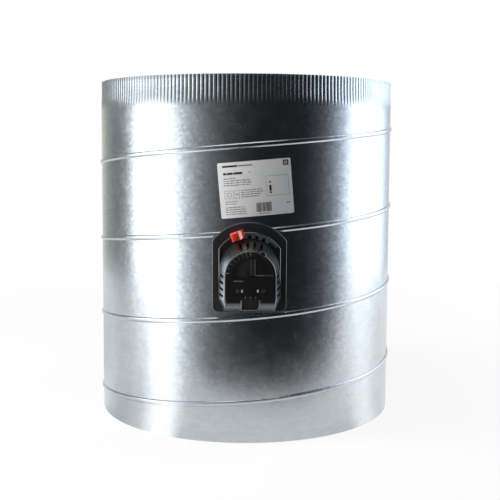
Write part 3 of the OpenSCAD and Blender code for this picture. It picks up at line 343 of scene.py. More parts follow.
def finish_of(name, skin, dark, light, rough, bump, metallic, sockets=None, **skin_sockets):
    """A material: one skin group drives the colour between two tones, the roughness between two values and a bump,
    whose height is in millimetres when bump is 1."""
    mat = bpy.data.materials.new(name)
    mat.use_nodes = True
    tree = mat.node_tree
    shader = tree.nodes["Principled BSDF"]
    use = tree.nodes.new("ShaderNodeGroup")
    use.node_tree = skin
    tree.links.new(add(tree, "TexCoord").outputs["Object"], use.inputs["Vector"])
    for key, value in skin_sockets.items():
        use.inputs[key.replace("_", " ")].default_value = value
    tone = span(tree, use.outputs["Tone"], 0.25, 0.75, 0.0, 1.0)
    tint = add(tree, "Mix", data_type="RGBA")
    tree.links.new(tone, tint.inputs[0])
    tint.inputs[6].default_value = (*dark, 1)
    tint.inputs[7].default_value = (*light, 1)
    relief = add(tree, "Bump", {"Strength": 1.0, "Distance": bump * MM, "Height": use.outputs["Height"]})
    if "Lean" in use.outputs:
        level = add(tree, "NewGeometry").outputs["Normal"]
        leant = add(tree, "VectorMath", {0: level, 1: use.outputs["Lean"]}, operation="ADD")
        leant = add(tree, "VectorMath", {0: leant.outputs[0]}, operation="NORMALIZE")
        tree.links.new(leant.outputs[0], relief.inputs["Normal"])
    tree.links.new(tint.outputs[2], shader.inputs["Base Color"])
    tree.links.new(span(tree, use.outputs["Roughness"], 0.25, 0.75, *rough), shader.inputs["Roughness"])
    tree.links.new(relief.outputs[0], shader.inputs["Normal"])
    shader.inputs["Metallic"].default_value = metallic
    for key, value in (sockets or {}).items():
        shader.inputs[key].default_value = value
    return mat


zinc = rolled_zinc_group()
mould = moulded_group()
worked = worked_metal_group()


def sheet_metal(name, dark, light, rough, **skin_sockets):
    """Galvanised sheet."""
    return finish_of(name, zinc, dark, light, rough, 1.0, 1.0, **skin_sockets)


def metal(name, dark, light, rough, bump=0.004):
    """A worked metal."""
    return finish_of(name, worked, dark, light, rough, bump, 1.0)


def plastic(name, dark, light, rough, bump, sockets=None, **skin_sockets):
    """A moulded, foamed, printed or painted surface."""
    return finish_of(name, mould, dark, light, rough, bump, 0.0, sockets, **skin_sockets)


def coat(weight, ior, rough, specular=0.5):
    """The sockets of a glossy skin over a plastic."""
    return {"Specular IOR Level": specular, "Coat Weight": weight, "Coat IOR": ior, "Coat Roughness": rough}


galvanised = sheet_metal("galvanised_sheet", (0.555, 0.595, 0.635), (0.62, 0.655, 0.685), (0.21, 0.30))
galvanised_blade = sheet_metal("galvanised_blade", (0.48, 0.51, 0.54), (0.66, 0.68, 0.69), (0.28, 0.4),
                               Wave=0.06, Spangle_Scale=90.0)
plated = metal("zinc_plated_steel", (0.52, 0.53, 0.55), (0.68, 0.69, 0.70), (0.22, 0.38))
spring_steel = metal("oiled_spring_steel", (0.13, 0.14, 0.155), (0.26, 0.27, 0.29), (0.25, 0.42))
brass = metal("machined_brass", (0.62, 0.44, 0.16), (0.80, 0.62, 0.30), (0.18, 0.32), 0.003)
motor_can = metal("motor_can_steel", (0.42, 0.43, 0.45), (0.58, 0.59, 0.60), (0.28, 0.42))
film = plastic("label_film", (0.80, 0.805, 0.81), (0.88, 0.88, 0.875), (0.30, 0.42), 0.004, Grain_Scale=500.0)
ink = plastic("label_ink", (0.016, 0.016, 0.018), (0.03, 0.03, 0.032), (0.45, 0.6), 0.001)
pale_ink = plastic("label_grey_ink", (0.17, 0.17, 0.175), (0.25, 0.25, 0.255), (0.45, 0.6), 0.001)
plate_plastic = plastic("plate_plastic", (0.018, 0.019, 0.020), (0.030, 0.031, 0.033), (0.36, 0.5), 0.012,
                        coat(0.8, 1.6, 0.15))
base_plastic = plastic("base_plastic", (0.010, 0.010, 0.011), (0.019, 0.019, 0.020), (0.20, 0.32), 0.004,
                       coat(1.0, 1.6, 0.10, 0.9))
hood_plastic = plastic("hood_plastic", (0.008, 0.008, 0.009), (0.014, 0.014, 0.015), (0.28, 0.38), 0.003,
                       coat(1.0, 1.65, 0.22, 0.6))
satin_black = plastic("dial_satin", (0.016, 0.016, 0.017), (0.022, 0.022, 0.023), (0.45, 0.6), 0.004)
# Painted highlight: this pale grey on the notch's left edge stands for the light that the notch's side wall catches.
notch_highlight_grey = plastic("notch_painted_highlight", (0.30, 0.30, 0.31), (0.38, 0.38, 0.39), (0.25, 0.4), 0.003)
# Grey of the stop's scale print. On the notch's right edge the same grey is a dimmer painted highlight, on the side
# away from the light.
scale_grey_and_notch_highlight = plastic("stop_scale_and_notch_highlight", (0.09, 0.10, 0.11), (0.13, 0.14, 0.15), (0.4, 0.55), 0.003)
button_plastic = plastic("button_plastic", (0.006, 0.006, 0.007), (0.011, 0.011, 0.012), (0.45, 0.6), 0.006,
                         {"Specular IOR Level": 0.05})
red_plastic = plastic("stop_plastic", (0.90, 0.050, 0.016), (0.96, 0.075, 0.028), (0.16, 0.28), 0.002,
                      coat(1.0, 1.9, 0.06))
white_print = plastic("face_print", (0.28, 0.28, 0.28), (0.36, 0.36, 0.355), (0.45, 0.6), 0.001)
grey_print = plastic("face_grey_print", (0.15, 0.15, 0.155), (0.21, 0.21, 0.215), (0.45, 0.6), 0.001)
# Pale acrylic of the light pipes. Seen through half windows, it also stands as a painted highlight at each window's
# left.
acrylic = plastic("light_pipe_acrylic", (0.60, 0.62, 0.61), (0.74, 0.75, 0.74), (0.12, 0.22), 0.001,
                  {"Subsurface Weight": 0.2})
nylon = plastic("bush_nylon", (0.42, 0.33, 0.19), (0.55, 0.45, 0.29), (0.45, 0.6), 0.010)
acetal = plastic("gear_acetal", (0.66, 0.64, 0.57), (0.76, 0.74, 0.68), (0.35, 0.5), 0.004)
foam = plastic("closed_cell_foam", (0.014, 0.014, 0.014), (0.034, 0.034, 0.034), (0.8, 0.95), 0.15, Grain_Scale=1500.0)
rubber = plastic("gasket_rubber", (0.016, 0.016, 0.016), (0.036, 0.036, 0.035), (0.6, 0.8), 0.03, Grain_Scale=900.0)
board = plastic("board_mask", (0.010, 0.060, 0.026), (0.018, 0.095, 0.042), (0.25, 0.4), 0.006)
parts_black = plastic("board_part_plastic", (0.012, 0.012, 0.014), (0.03, 0.03, 0.033), (0.4, 0.6), 0.01)

CAD_FINISH = {
    galvanised: ["duct_tube"],
    film: ["data_label"],
    nylon: ["front_bush", "rear_bush"],
    spring_steel: ["front_push_ring", "rear_push_ring", "shaft_clips", "return_spring", "hub_screw"],
    foam: ["foam_gasket"],
    plated: ["plate_rivets", "base_screws", "gear_plate", "gear_plate_screws", "idler_axle", "motor_screws",
             "board_screws", "damper_shaft", "blade_rivets", "blade_bolts", "blade_washers", "blade_nuts"],
    motor_can: ["motor"],
    brass: ["board_standoffs", "wire_clamps", "motor_pinion"],
    board: ["circuit_board"],
    parts_black: ["board_parts"],
    acrylic: ["light_open", "light_closed"],
    galvanised_blade: ["blade_plate_near", "blade_plate_far"],
    rubber: ["blade_gasket"],
    acetal: ["output_gear", "idler_gear"],
}
for finish, names in CAD_FINISH.items():
    for name in names:
        nodes[name].data.materials.clear()
        nodes[name].data.materials.append(finish)


# The duct


def ease(t):
    """Smooth step from 0 to 1, level at both ends."""
    t = np.clip(t, 0, 1)
    return t * t * (3 - 2 * t)


def crimped_ring():
    """The male end. Outside radius = tube radius, drawn in to the crest radius over two thirds of the length, less
    the crimp depth times a power of half of (1 - cos of 240 times the angle), which leaves flats between narrow
    grooves. The depth eases in, so that a crimp ends in a point. The inside skin is the same surface less the
    wall, and the tip is thinned to a blunt edge."""
    steps = CRIMPS * 12
    turn = np.arange(steps) * 2 * np.pi / steps
    up = np.array([0, 1.0, 2.0, 3.0, 4.2, 5.6, 7.2, 9, 12, 16, 21, 27, 33, CRIMP_LEN - 0.25, CRIMP_LEN])
    ripple = (0.5 - 0.5 * np.cos(CRIMPS * turn)) ** CRIMP_NARROW
    to_crest = (DUCT_R - CREST_R) * ease(up / 26.0)
    deep = CRIMP_DEEP * ease(up / 14.0)
    tip = np.where(up >= CRIMP_LEN, 0.12, 0.0)
    outer = DUCT_R - to_crest[:, None] - deep[:, None] * ripple - tip[:, None]
    inner = outer - WALL + 2 * tip[:, None]
    radius = np.concatenate([outer, inner[::-1]])
    z = PLAIN_LEN + np.concatenate([up, up[::-1]])
    points = np.stack([radius * np.cos(turn), radius * np.sin(turn), np.broadcast_to(z[:, None], radius.shape)], -1)
    made = put_mesh("crimped_male_end", points.reshape(-1, 3), grid_faces(len(z), steps, True, True), 60)
    return ride_as(made, "duct", "galvanised", galvanised, "crimped_end")


def seam_turn(z):
    """The seam's turn about the duct at a height, in radians from the front."""
    return (z - SEAM_FRONT) / SEAM_PITCH * 2 * np.pi


def seam_ridge():
    """The folded lock seam. A section of out-and-along points is carried along a right hand helix whose
    height is the front height plus the pitch times the turn. The fold flattens towards the rear bush and
    is cut off level at the rim and at the crimp."""
    section = np.array([(-0.35, -3.1), (0.1, -3.0), (0.6, -2.5), (1.1, -1.9), (1.5, -1.3), (1.76, -0.75),
                        (1.86, -0.2), (1.84, 0.6), (1.82, 1.5), (1.8, 2.2), (1.65, 2.65), (1.25, 3.0), (0.7, 3.3),
                        (0.2, 3.55), (-0.35, 3.6)])
    first, last = seam_turn(np.array([-SEAM_W / 2, PLAIN_LEN + SEAM_W / 2]))
    turn = np.linspace(first, last, 900)
    bush_turn = np.pi + 2 * np.pi * np.round((seam_turn(SHAFT_Z) - np.pi) / (2 * np.pi))
    from_bush = np.abs(turn - bush_turn) * DUCT_R - BUSH_FLANGE_R
    stand = np.where(from_bush < 1.0, 0.1, 0.15 + 0.85 * ease((from_bush - 1.0) / 16.0))
    out = np.where(section[:, 0] > 0, section[:, 0] * stand[:, None], section[:, 0])
    z = SEAM_FRONT + SEAM_PITCH * turn[:, None] / (2 * np.pi) + section[:, 1]
    z = np.clip(z, 0.02, PLAIN_LEN - 0.02)
    radius = DUCT_R + out
    points = np.stack([radius * np.sin(turn)[:, None], -radius * np.cos(turn)[:, None], z], -1)
    made = put_mesh("lock_seam_fold", points.reshape(-1, 3), tube_faces(*z.shape), 50)
    return ride_as(made, "duct", "galvanised", galvanised, "lock_seam")


# Label


def label_patches(name, patches, finish):
    """Flat patches just over the label, each from its left, low, right and high side in millimetres on the label.
    A patch is a strip of quads bent round the duct: arc length over the radius gives the angle."""
    step = 4
    left, low, right, high = np.asarray(patches, float).T[..., None]
    u = left + (right - left) * np.linspace(0, 1, step + 1)
    u = np.stack([u, u], 1)
    v = np.stack([np.broadcast_to(low, (len(low), step + 1)), np.broadcast_to(high, (len(low), step + 1))], 1)
    quads = grid_faces(2, step + 1)
    faces = (quads[None] + np.arange(len(patches))[:, None, None] * 2 * (step + 1)).reshape(-1, 4)
    ride_as(put_mesh(name, on_label(u, v, 0.03).reshape(-1, 3), faces, 30), "duct", "label_white", finish)


def on_label(u, v, lift):
    """Points on the label from its own right and up coordinates: turned by the tilt, then rolled on the duct."""
    tilt = np.radians(LABEL["tilt"])
    x = u * np.cos(tilt) - v * np.sin(tilt)
    z = u * np.sin(tilt) + v * np.cos(tilt)
    r = LABEL["r"] + lift
    turn = np.radians(LABEL["turn"]) + x / LABEL["r"]
    return np.stack([r * np.sin(turn), -r * np.cos(turn), LABEL["z"] + z], -1)


def frame_patches(left, low, right, high, line):
    """Four thin patches that frame a box."""
    return [(left, low, right, low + line), (left, high - line, right, high),
            (left, low, left + line, high), (right - line, low, right, high)]


def word_patches(rng, left, right, low, high):
    """A row of blocks of varied length with gaps, in the place of a line of print."""
    made, at = [], left
    while at < right - 0.8:
        end = min(at + rng.uniform(1.2, 5.2), right)
        made.append((at, low, end, high))
        at = end + rng.uniform(0.7, 1.1)
    return made


# Rows of words on the label: left side, low and high side of the first row, pitch, and each row's right end
WORD_ROWS = [
    (-38.5, 13.4, 14.5, 2.7, (-24.0, -6.5, -5.0, -6.0)),
    (-18.5, -1.6, -0.6, 2.6, (7.0, 8.5, 5.0, 2.5)),
    (-38.5, -14.4, -13.5, 2.5, (-22.5, -26.0)),
    (-38.5, -21.4, -20.4, 2.7, (-16.0, -13.5, -14.5, -13.0)),
]
DARK_BLOCKS = [
    (-39.0, 27.6, -20.5, 29.9), (-38.4, 18.6, -34.4, 21.2), (-33.7, 18.6, -26.6, 21.2), (-25.9, 18.6, -15.2, 21.2),
    (-7.2, 19.6, -5.6, 20.6), (35.2, 25.2, 41.8, 31.6), (16.2, 5.6, 18.4, 7.2), (16.2, -7.4, 18.4, -4.9),
    (16.0, -4.2, 18.8, 2.6),
]
GREY_BLOCKS = [
    (-19.6, 27.9, -2.4, 29.5), (-35.4, -7.8, -30.4, -7.3), (-35.4, -3.6, -30.4, -3.1), (-35.4, -7.8, -34.9, -3.1),
    (-30.9, -7.8, -30.4, -3.1), (-24.9, -5.9, -21.9, -4.9), (11.5, 13.6, 40.5, 13.95), (13.0, -10.3, 40.5, -9.95),
    (40.1, -10.3, 40.5, 13.95), (36.3, -20.6, 40.3, -19.2),
]


def label_print():
    """Plain blocks, rules, boxes, bars and a ring in the places where the label is printed."""
    rng = np.random.default_rng(16)
    grey = GREY_BLOCKS + [patch for left, right in ((-38.5, -27.4), (-26.4, -20.5))
                          for patch in frame_patches(left, -10.2, right, -0.6, 0.35)]
    for left, low, high, pitch, ends in WORD_ROWS:
        for row, end in enumerate(ends):
            grey += word_patches(rng, left, end, low - pitch * row, high - pitch * row)
    grey += [(12.4, low, 12.8, low + 1.4) for low in -9.0 + 2.5 * np.arange(9)]
    at, bars = -1.5, []
    while at < 16.5:
        wide = rng.choice([0.3, 0.3, 0.6, 0.9])
        bars.append((at, -28.6, at + wide, -17.6))
        at += wide + rng.choice([0.35, 0.35, 0.7])
    grey += word_patches(rng, 1.0, 14.8, -31.2, -30.2)
    label_patches("label_dark_print", DARK_BLOCKS + bars, ink)
    label_patches("label_grey_print", grey, pale_ink)
    ring = np.concatenate([on_label(*disc(r, 38.5, 28.4, 24).T, 0.05) for r in (1.9, 1.1)])
    made = put_mesh("label_ring_mark", ring, grid_faces(2, 24, False, True), 30)
    ride_as(made, "duct", "label_white", film)


# Actuator face


def prism(outline, low, high):
    """A prism on the front over an outline of x, y points, between two heights."""
    x, y = np.asarray(outline, float).T
    return np.concatenate([front(x, y, low), front(x, y, high)]), tube_faces(2, len(x))


def face_patch(outline, h=FACE_H, thick=0.06):
    """A thin flat prism over an outline, its top just over a height and its foot just below."""
    return prism(outline, h - 0.1, h + thick)


def joined(name, parts):
    """One mesh from many lists of points and faces."""
    points, faces, start = [], [], 0
    for p, f in parts:
        points.append(p)
        faces += [[start + i for i in face] for face in f]
        start += len(p)
    return put_mesh(name, np.concatenate(points), faces, 30)


def box_outline(x0, y0, x1, y1):
    """The four corners of a box."""
    return [(x0, y0), (x1, y0), (x1, y1), (x0, y1)]


def disc(r, x=0.0, y=0.0, steps=40):
    """Points on a circle about a point."""
    a = np.linspace(0, 2 * np.pi, steps, endpoint=False)
    return np.stack([x + r * np.cos(a), y + r * np.sin(a)], -1)


def turned(outline, angle):
    """An outline turned about the shaft's axis by degrees, counter-clockwise."""
    a = np.radians(angle)
    outline = np.asarray(outline, float)
    return outline @ np.array([[np.cos(a), np.sin(a)], [-np.sin(a), np.cos(a)]])


def arc(r, from_deg, to_deg, steps):
    """Points on an arc about the shaft's axis."""
    a = np.radians(np.linspace(from_deg, to_deg, steps))
    return r * np.stack([np.cos(a), np.sin(a)], -1)


def band(r0, r1, from_deg, to_deg, steps):
    """A band between two radii and two angles."""
    return np.concatenate([arc(r1, from_deg, to_deg, steps), arc(r0, from_deg, to_deg, steps)[::-1]])


def numeral_mesh(text, x, y, size, h):
    """A numeral of the dial as a flat mesh, centred on a point of the face."""
    curve = bpy.data.curves.new("numeral", "FONT")
    curve.body = text
    curve.size = size
    curve.align_x, curve.align_y = "CENTER", "CENTER"
    holder = linked("numeral", curve)
    mesh = evaluated_mesh(holder)
    flat = np.empty(len(mesh.vertices) * 3)
    mesh.vertices.foreach_get("co", flat)
    flat = flat.reshape(-1, 3)
    faces = [list(f.vertices) for f in mesh.polygons]
    bpy.data.objects.remove(holder)
    return front(flat[:, 0] + x, flat[:, 1] + y, h), faces


def face_marks():
    """The scale of the quarter turn along the face's arch, its numerals, bars in place of words, the signs of open
    and closed, and the arrows of the terminals."""
    bright = []
    for k in range(8):
        a = 90 + k * SCALE_STEP
        c, s = np.cos(np.radians(a)), np.sin(np.radians(a))
        edge = FACE_ARCH_Y * s + np.sqrt(FACE_ARCH_R ** 2 - (FACE_ARCH_Y * c) ** 2)
        long, half = (2.6, 0.4) if k in (0, 7) else (2.0, 0.28)
        bright.append(face_patch(turned(box_outline(-half, edge - 1.7 - long, half, edge - 1.7), a - 90)))
        bright.append(numeral_mesh(str(7 - k), (edge - 5.9) * c, (edge - 5.9) * s, 2.1, FACE_H + 0.06))
    dim = [box_outline(5.0, -3.0, 17.2, -2.0), box_outline(18.8, -2.8, 26.6, -2.2),
           box_outline(-20.0, -9.6, -7.8, -8.6)]
    for x, turn_by in ((-15.0, 90), (15.0, 0)):
        for part in (band(1.5, 1.85, 0, 180, 16), band(1.5, 1.85, 180, 360, 16),
                     turned(box_outline(-1.5, -0.17, 1.5, 0.17), turn_by)):
            dim.append(part + [x, -20.6])
    arrow = np.array([(-0.3, -28.3), (-1.15, -28.3), (0.0, -29.9), (1.15, -28.3), (0.3, -28.3), (0.3, -26.6),
                      (-0.3, -26.6)])
    dim += [arrow + [x, 0] for x in TERMINALS]
    ride_as(joined("scale_print", bright), "duct", "light_pipe", white_print)
    ride_as(joined("sign_print", [face_patch(outline) for outline in dim]), "duct", "light_pipe", grey_print)


# Actuator mouldings


def bezier(a, b, c, t):
    """Quadratic curve (1-t)^2 a + 2t(1-t) b + t^2 c for a column of t."""
    return (1 - t) ** 2 * a + 2 * t * (1 - t) * b + t ** 2 * c


def corner(a, b, c, n):
    """n points of a quadratic curve from a up to, but not at, c."""
    return bezier(np.array(a), np.array(b), np.array(c), (np.arange(n) / n)[:, None])


def runs(points, counts):
    """Straight runs between successive points, each with its own count of points, up to but not at the last."""
    points = np.asarray(points, float)
    return np.concatenate([a + (b - a) * (np.arange(n) / n)[:, None]
                           for a, b, n in zip(points[:-1], points[1:], counts)])


def hood_outlines():
    """The hood's outline at its foot and at its face, point for point, and the share of the lower lip's bulge.
    Half an outline runs from the middle of the bottom edge up the right side to the top of the arch."""
    foot = np.concatenate([
        runs([(0, FOOT_Y), (30.1, FOOT_Y)], [12]),
        corner([30.1, FOOT_Y], [31.0, FOOT_Y], [31.4, -49.9], 4),
        runs([(31.4, -49.9), (37.1, -36.4), (HALF_W, -34.6), (HALF_W, -22.5), (35.93, 2.26)], [5, 3, 6, 8]),
        arc(ARCH_R, 3.6, 90, 31)])
    face = np.concatenate([
        runs([(0, FACE_FOOT_Y), (28.4, FACE_FOOT_Y)], [12]),
        corner([28.4, FACE_FOOT_Y], [FACE_ARCH_R, FACE_FOOT_Y], [FACE_ARCH_R, -29.2], 12),
        runs([(FACE_ARCH_R, -29.2), (FACE_ARCH_R, -18.0), (FACE_ARCH_R, FACE_ARCH_Y)], [6, 8]),
        arc(FACE_ARCH_R, 0, 90, 31) + [0, FACE_ARCH_Y]])
    bulge = np.concatenate([np.ones(12), 1 - ease(np.arange(1, 19) / 18.0), np.zeros(len(foot) - 30)])
    mirror = slice(-2, 0, -1)
    foot = np.concatenate([foot, foot[mirror] * [-1, 1]])
    face = np.concatenate([face, face[mirror] * [-1, 1]])
    return foot, face, np.concatenate([bulge, bulge[mirror]])


# The lower lip: how far its middle point is lifted to the right, up and out, and the pull of that point
LIP = np.array([0.0, 0.6, 17.8])
LIP_PULL = 3.0


def lip_curve(a, c, bulge, t):
    """Curve from a to c whose middle is lifted by the lip's bulge: (1-t)^2 a + 2t(1-t) w b + t^2 c, over the sum of
    the three weights, where w is the pull of the middle point b. It is a straight line where there is no bulge."""
    b = (a + c) / 2 + bulge * LIP[-a.shape[-1]:]
    w = 1 + (LIP_PULL - 1) * bulge
    parts = (1 - t) ** 2, 2 * t * (1 - t) * w, t ** 2
    return (parts[0] * a + parts[1] * b + parts[2] * c) / sum(parts)


def hood_rows(foot, face, bulge, shares, high):
    """Rows of the hood's wall from foot to face, one for each share of the way."""
    t = np.asarray(shares, float)[:, None, None]
    return lip_curve(at_height(foot, BASE_H)[None], at_height(face, high)[None], bulge[None, :, None], t)


def drawn_in(outline, share):
    """An outline drawn in to a share of its size about the hood's middle."""
    middle = np.array([0, -8.0])
    return (outline - middle) * share + middle


def hood():
    """The hood: an outer wall drawn from the foot's outline to the face's, its face edge rounded, an inner wall
    2 mm inside it, and cuts for the notch, vents, dial, stem and lights."""
    foot, face, bulge = hood_outlines()
    shares = [0, 0.1, 0.22, 0.32, 0.40, 0.46, 0.52, 0.58, 0.64, 0.70, 0.77, 0.84, 0.90, 0.96]
    outer = hood_rows(foot, face, bulge, shares, FACE_H)
    inset = drawn_in(face, 1 - FACE_EDGE_R / FACE_ARCH_R)
    edge = bezier(outer[-1][None], at_height(face, FACE_H)[None], at_height(inset, FACE_H)[None],
                  np.array([0.25, 0.5, 0.75, 1.0])[:, None, None])
    inner = hood_rows(drawn_in(foot, 0.945), drawn_in(face, 0.93), bulge, shares + [1.0], INNER_FACE_H)
    rows = np.concatenate([inner[::-1], outer, edge])
    shell = put_mesh("hood_shell", front_grid(rows), tube_faces(*rows.shape[:2]), 30)
    return cut_away("hood_moulding", shell, hood_cutters())


def notch_highlight_strip(name, side, finish):
    """A painted highlight on the notch's edge: a flat section carried along the lip's curve, just under it, whose grey
    stands for the light that the notch's side wall catches.
    """
    steps = 24
    path = lip_curve(np.array([FOOT_Y, BASE_H]), np.array([FACE_FOOT_Y, FACE_H]), 1.0,
                     np.linspace(0.03, 0.98, steps)[:, None])
    run = np.gradient(path, axis=0)
    out = np.column_stack([-run[:, 1], run[:, 0]]) / np.linalg.norm(run, axis=1)[:, None]
    section = ((11.55, -0.35), (11.55, -2.6), (9.9, -2.6), (9.9, -0.75))
    grid = np.stack([np.column_stack([np.full(steps, side * x), path + out * lift]) for x, lift in section], 1)
    made = joined(name, [(front_grid(grid), tube_faces(steps, len(section)))])
    ride_as(made, "duct", "housing_black", finish)


def hood_cutters():
    """All that is cut from the hood, as one list of closed solids."""
    half = VENT_W / 2
    margin = (FACE_H - BASE_H - VENT_LEN) / 2
    vent = BASE_H + margin, FACE_H - margin
    cutters = [prism(box_outline(-NOTCH_HALF_W, -90, NOTCH_HALF_W, FACE_FOOT_Y), 0, 90)]
    for share in TOP_VENTS:
        cutters.append(prism(turned(box_outline(-half, 15, half, 51), share * SCALE_STEP), *vent))
    for k in range(4):
        y = -5.625 - VENT_PITCH * k
        cutters.append(prism(box_outline(18, y - half, 54, y + half), *vent))
        cutters.append(prism(box_outline(-54, y - half, -18, y + half), *vent))
    dial = np.concatenate([[(5.8, -5.2), (5.8, 17.57)], arc(DIAL_R, 72, 180, 40), [(-DIAL_R, -5.2)]])
    cutters.append(prism(dial, RECESS_H, 60))
    cutters.append(prism(disc(2.8), 40, 48.9))
    # Each light's window is cut to its left half, so the pale pipe behind it shows only as a crescent at the left.
    # This is partly the pipe's own pale colour and partly a painted highlight.
    for x in (-LIGHT_X, LIGHT_X):
        window = disc(1.8, x, -20.8)
        window[:, 0] = np.clip(window[:, 0], None, x - 0.1)
        cutters.append(prism(window, 40, 60))
    return cutters


def cut_away(name, solid, cutters):
    """The solid less the cutters, kept as a plain mesh with flat faces kept flat."""
    knife = joined(name + "_knife", cutters)
    bm = bmesh.new()
    bm.from_mesh(knife.data)
    bmesh.ops.recalc_face_normals(bm, faces=bm.faces)
    bm.to_mesh(knife.data)
    bm.free()
    cut = solid.modifiers.new("cut", "BOOLEAN")
    cut.operation = "DIFFERENCE"
    cut.solver = "EXACT"
    cut.use_self = True
    cut.object = knife
    mesh = evaluated_mesh(solid)
    mesh.name = name
    made = linked(name, mesh)
    bpy.data.objects.remove(solid)
    bpy.data.objects.remove(knife)
    mesh.set_sharp_from_angle(angle=np.radians(32))
    return keep_flat(made)


def rim_copy(node, name, on_rim, radius):
    """A copy of a CAD solid whose edges between rim points are rounded to a radius. The rest stays sharp."""
    bm = merged_solid(node)
    co = np.array([v.co for v in bm.verts]) / MM
    picked = on_rim(co[:, 0], co[:, 2] - SHAFT_Z, -co[:, 1] - DUCT_R)
    rim = [e for e in bm.edges if picked[e.verts[0].index] and picked[e.verts[1].index]
           and len(e.link_faces) == 2 and e.calc_face_angle() > 0.7]
    bmesh.ops.bevel(bm, geom=rim, offset=radius * MM, segments=3, profile=0.5, affect="EDGES", clamp_overlap=False)
    mesh = bpy.data.meshes.new(name)
    bm.to_mesh(mesh)
    bm.free()
    made = linked(name, mesh)
    mesh.set_sharp_from_angle(angle=np.radians(38))
    return keep_flat(made)


def plate_rim(x, y, h):
    """True at the plate's front rim: its sides, arch, foot and rounded lower corners, each limit just inside them."""
    outside = (np.abs(x) > 44.2) | ((y > 8) & (np.hypot(x, y) > 55.2)) | (y < -53)
    return (h > 6.9) & (outside | ((np.abs(x) > 36.9) & (y < -45.7) & (np.hypot(np.abs(x) - 37, y + 45.8) > 7.6)))


def base_rim(x, y, h):
    """True at the base's front rim: its arch, its sides, its foot, and the slants between sides and foot."""
    arch = (y > 20) & (np.abs(np.hypot(x, y) - 44.75) < 0.12)
    side = (np.abs(np.abs(x) - HALF_W) < 0.05) & (y > -35.7)
    slant = np.abs((np.abs(x) - 31) * 15.3 - (y - FOOT_Y) * 6.5) / 16.62 < 0.06
    return (h > 12.95) & (arch | side | (y < -50.7) | (slant & (y < -35.3) & (y > -50.9)))


def range_stop():
    """The red stop: a section of across-and-out points, flat in front with a slant at its right, carried away from
    the shaft and drawn in at both ends, with two prongs for the square holes."""
    section = np.array([(-8.5, BASE_H), (-8.5, 18.0), (-8.35, 24.6), (-8.0, 25.7), (-7.0, 26.2), (-4.0, 26.2),
                        (-1.4, 26.1), (0.2, 25.8), (1.0, 25.3), (2.0, 24.3), (3.2, 22.95), (4.4, 21.5), (5.2, 20.4),
                        (6.1, 18.6), (7.2, 15.8), (8.3, BASE_H)])
    middle = np.array([-0.5, BASE_H])
    away = STOP_R + np.array([-5.3, -5.15, -4.8, -4.2, 0, 3.4, 4.3, 4.9, 5.2, 5.3])
    size = np.array([0.93, 0.965, 0.985, 1, 1, 1, 0.985, 0.955, 0.915, 0.86])
    grid = middle + (section - middle)[None] * size[:, None, None]
    across = grid[..., 0]
    local = np.stack([across, np.broadcast_to(away[:, None], across.shape)], -1).reshape(-1, 2)
    local = turned(local, 1.5 * SCALE_STEP)
    parts = [(front(local[:, 0], local[:, 1], grid[..., 1].reshape(-1)), tube_faces(*across.shape))]
    for step in (1, 2):
        parts.append(prism(turned(box_outline(-1.7, HOLES_IN, 1.7, HOLES_OUT), step * SCALE_STEP), 9.35, 14.0))
    made = joined("range_stop_moulding", parts)
    made.data.set_sharp_from_angle(angle=np.radians(42))
    return made


def pointer():
    """The pointer: a bar with chamfered long edges on a low hub and a stem."""
    bar = np.array([(0.0, POINTER_LOW), (0.0, 50.3), (1.4, 50.8), (4.8, 50.8), (5.5, 50.2), (5.5, POINTER_LOW)])
    y = np.array([-2.6, 15.9, 16.5])[:, None]
    out = np.maximum(bar[:, 1] - np.array([0.0, 0.0, 0.15])[:, None], POINTER_LOW)
    parts = [(front(bar[:, 0], y, out).reshape(-1, 3), tube_faces(*out.shape)),
             prism(disc(4.4), POINTER_LOW, 49.15), prism(disc(2.5), 22.5, 49.0)]
    return joined("pointer_moulding", parts)


def dial_floor():
    """The dial's satin floor, which lies on the recess between the pointer's left side and its rim."""
    outline = np.concatenate([[(-0.25, -5.0)], arc(18.2, 90, 180, 30) - [0.25, 0], [(-18.3, -5.0)]])
    made = joined("dial_floor", [face_patch(outline, RECESS_H, 0.04)])
    return ride_as(made, "duct", "housing_black", satin_black)


def stop_scale():
    """The lighter scale strip round the square holes, right of the stop: an outer band and a block between each
    two holes."""
    low, thick, edge = BASE_H - 0.2, 0.05, 40.75
    parts = [face_patch(band(edge, 43.2, 38, 98, 40), low, thick)]
    hole = np.degrees(3.75 / ((HOLES_IN + HOLES_OUT) / 2)) / 2
    for step in (-3, -2, -1, 0):
        start = 90 + step * SCALE_STEP + hole
        parts.append(face_patch(band(HOLES_IN, edge, start, start + SCALE_STEP - 2 * hole, 8), low, thick))
    return ride_as(joined("stop_scale_print", parts), "duct", "housing_black", scale_grey_and_notch_highlight)


def finger_tab():
    """A small tab over the face's edge, by which the hood is lifted: rings of a rounded box, cos and sin to a power,
    each with its share of the size and its height."""
    c, s = disc(1.0, steps=28).T
    power = 0.55
    ring = np.column_stack([3.9 * np.sign(c) * np.abs(c) ** power, 2.4 * np.sign(s) * np.abs(s) ** power])
    grid = np.stack([at_height(turned(ring * share, -31) + [14.6, 22.6], h) for share, h in (
        (1.0, 43.0), (1.0, 49.5), (0.94, 50.1), (0.84, 50.3), (0.74, 50.1), (0.70, 49.7))])
    made = put_mesh("finger_tab", front_grid(grid), tube_faces(*grid.shape[:2]), 50)
    return ride_as(made, "duct", "housing_black", hood_plastic)


# Stage, light and camera

ROOM_R = 1500

